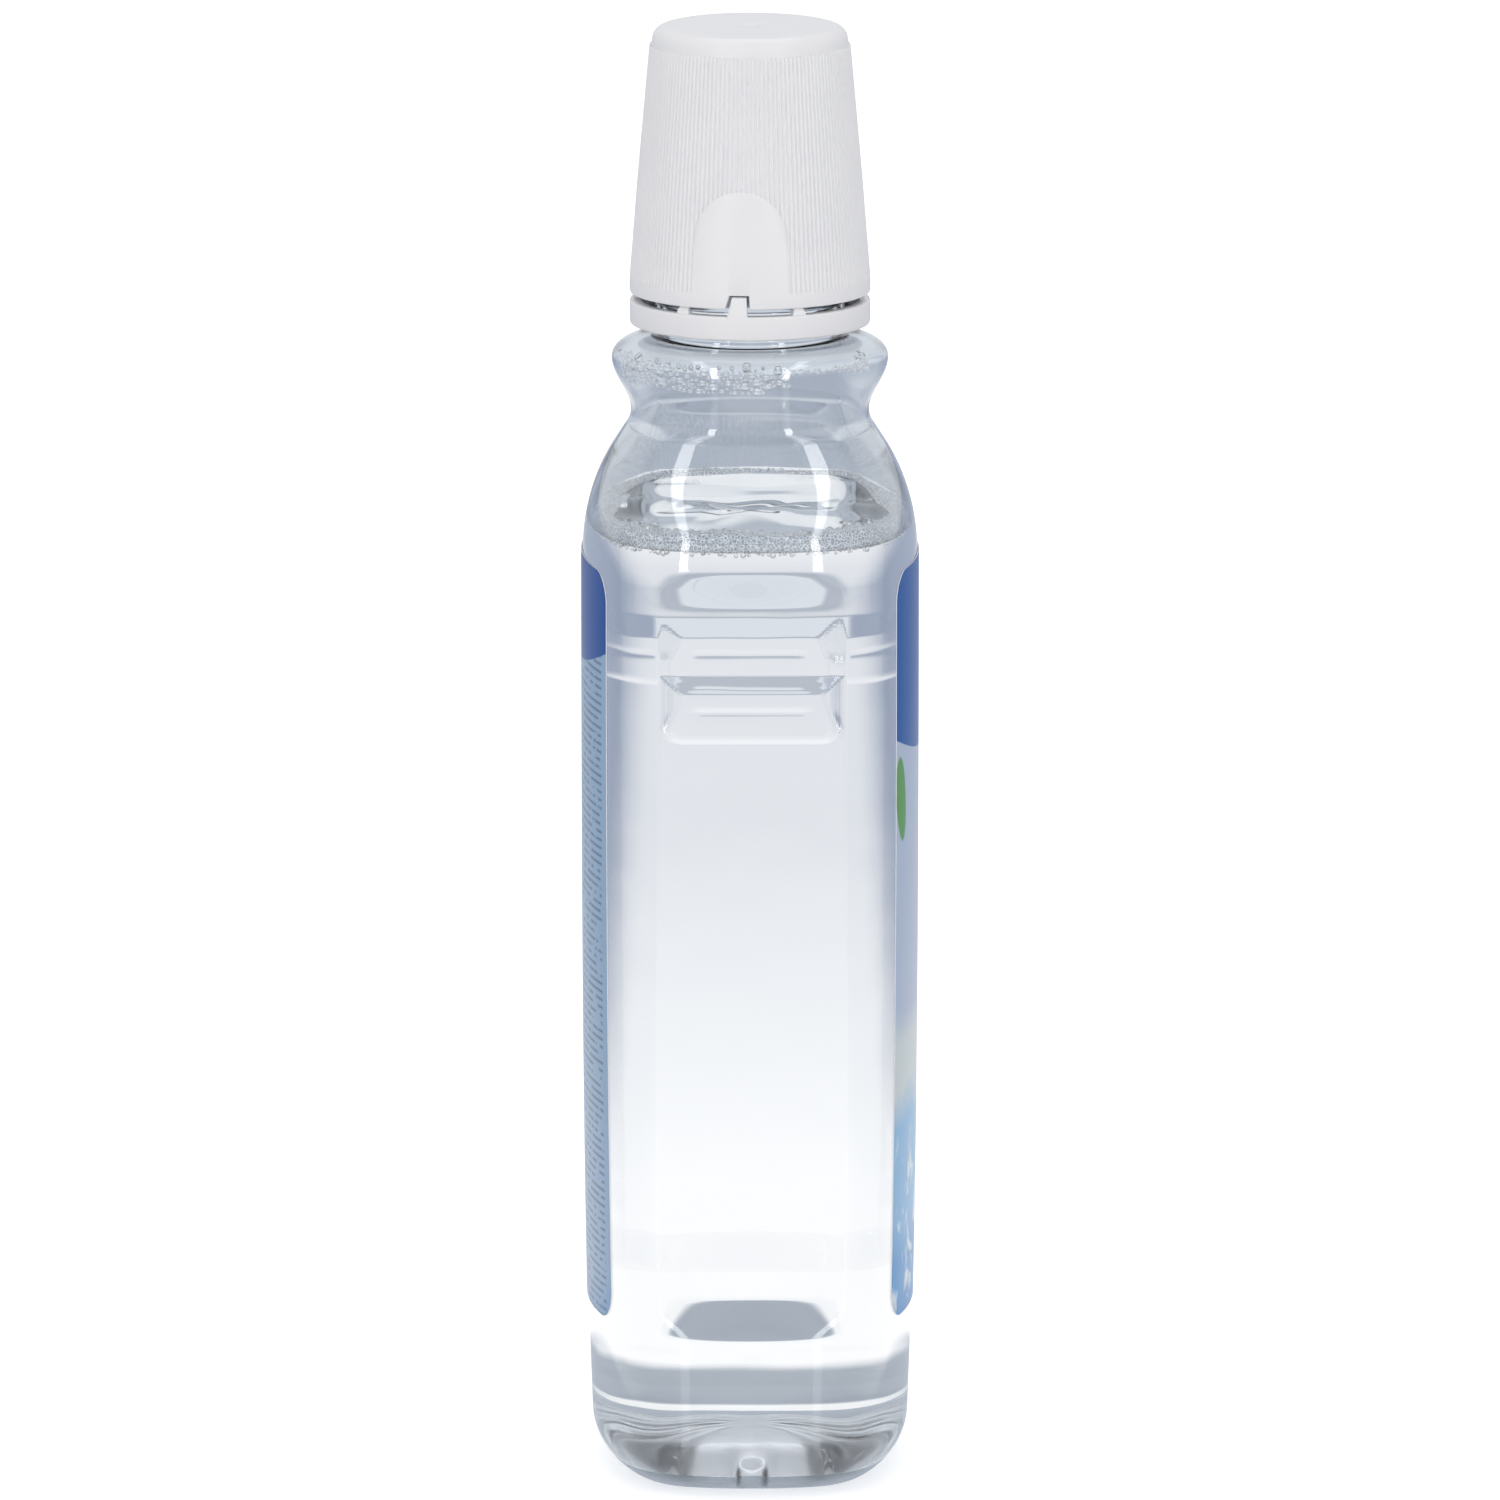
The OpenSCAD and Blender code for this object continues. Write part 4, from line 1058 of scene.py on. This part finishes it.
# The room is pale. The camera sees it white, clear plastic and gloss show it as soft grey clouds
# overhead and paler below, and to everything else it is one even soft light.
world = bpy.data.worlds.new("studio")
bpy.context.scene.world = world
world.use_nodes = True
tree = world.node_tree
tree.nodes.clear()
ray = add(tree, "LightPath").outputs
toward = add(tree, "TexCoord").outputs["Generated"]
clouds = add(tree, "TexNoise", Vector=toward, Scale=2.6, Detail=2.0, Roughness=0.6)
level = add(tree, "MapRange", Value=clouds.outputs["Fac"], From_Min=0.38, From_Max=0.62)
up = add(tree, "SeparateXYZ", Vector=toward).outputs["Z"]
height = add(tree, "MapRange", {"interpolation_type": "SMOOTHSTEP"}, Value=up, From_Min=0.5, From_Max=0.75)
sky = add(tree, "MixRGB", Fac=level.outputs[0], Color1=linear("#8F99A8"), Color2=linear("#C3CBD6"))
sky = add(tree, "MixRGB", Fac=height.outputs[0], Color1=linear("#D8DDE3"), Color2=sky.outputs[0])
through = add(tree, "Math", {"operation": "MAXIMUM"}, _0=ray["Is Transmission Ray"], _1=ray["Is Glossy Ray"])
soft = add(tree, "Background", Color=linear("#F8F7F8"), Strength=0.62)
room = add(tree, "Background", Color=sky.outputs[0], Strength=1.0)
white = add(tree, "Background", Color=(1, 1, 1, 1), Strength=1.0)
inside = add(tree, "MixShader", _0=through.outputs[0], _1=soft.outputs[0], _2=room.outputs[0])
both = add(tree, "MixShader", _0=ray["Is Camera Ray"], _1=inside.outputs[0], _2=white.outputs[0])
add(tree, "OutputWorld", Surface=both.outputs[0])


def softbox(name, start, end, width, aim, watts):
    """A flat lamp that runs from one point to another and faces a third, in metres."""
    start, end = Vector(start), Vector(end)
    along = (end - start).normalized()
    back = (start + end) / 2 - Vector(aim)
    back = (back - back.dot(along) * along).normalized()
    lamp = bpy.data.lights.new(name, "AREA")
    lamp.shape = "RECTANGLE"
    lamp.size = width
    lamp.size_y = (end - start).length
    lamp.energy = watts
    box = bpy.data.objects.new(name, lamp)
    bpy.context.collection.objects.link(box)
    turned = Matrix((along.cross(back), along, back)).transposed().to_4x4()
    box.matrix_world = Matrix.Translation((start + end) / 2) @ turned


# Two tall strips stand in front of the bottle, one on each side of the camera's view. From the top
# of each a rail of light runs back over the bottle, and a wide lamp hangs overhead behind it.
STRIP_X = -1.45
LAMP_TOP = 1.7
for side in (-1, 1):
    foot = (STRIP_X, side * 0.74, -0.4)
    bend = (STRIP_X, side * 0.98, LAMP_TOP)
    tip = (0.5, side * 0.52, LAMP_TOP)
    softbox("strip_%d" % (side + 2), foot, bend, 0.17, (0, 0, 0.6), 5.6)
    softbox("rail_%d" % (side + 2), bend, tip, 0.16, (0, 0, 0), 2.7)
softbox("overhead", (0.85, -0.5, LAMP_TOP), (0.85, 0.5, LAMP_TOP), 0.5, (0.2, 0, 0), 3.5)

# The camera looks at the narrow side from a little above it
TILT = math.radians(10.53)
TURN = math.radians(0.5)
AWAY = 3.8
LOOK_Z = 0.11673
FRAME_W = 0.24486  # what the frame spans at the bottle
SENSOR = 36
camera_data = bpy.data.cameras.new("camera")
camera = bpy.data.objects.new("camera", camera_data)
bpy.context.collection.objects.link(camera)
camera.location = (-AWAY * math.cos(TILT) * math.cos(TURN), AWAY * math.cos(TILT) * math.sin(TURN),
                   LOOK_Z + AWAY * math.sin(TILT))
camera.rotation_euler = (math.pi / 2 - TILT, 0, -math.pi / 2 - TURN)
camera_data.sensor_width = SENSOR
camera_data.lens = SENSOR * AWAY / FRAME_W
camera_data.clip_end = 50
bpy.context.scene.camera = camera
bpy.context.scene.view_settings.view_transform = "Standard"
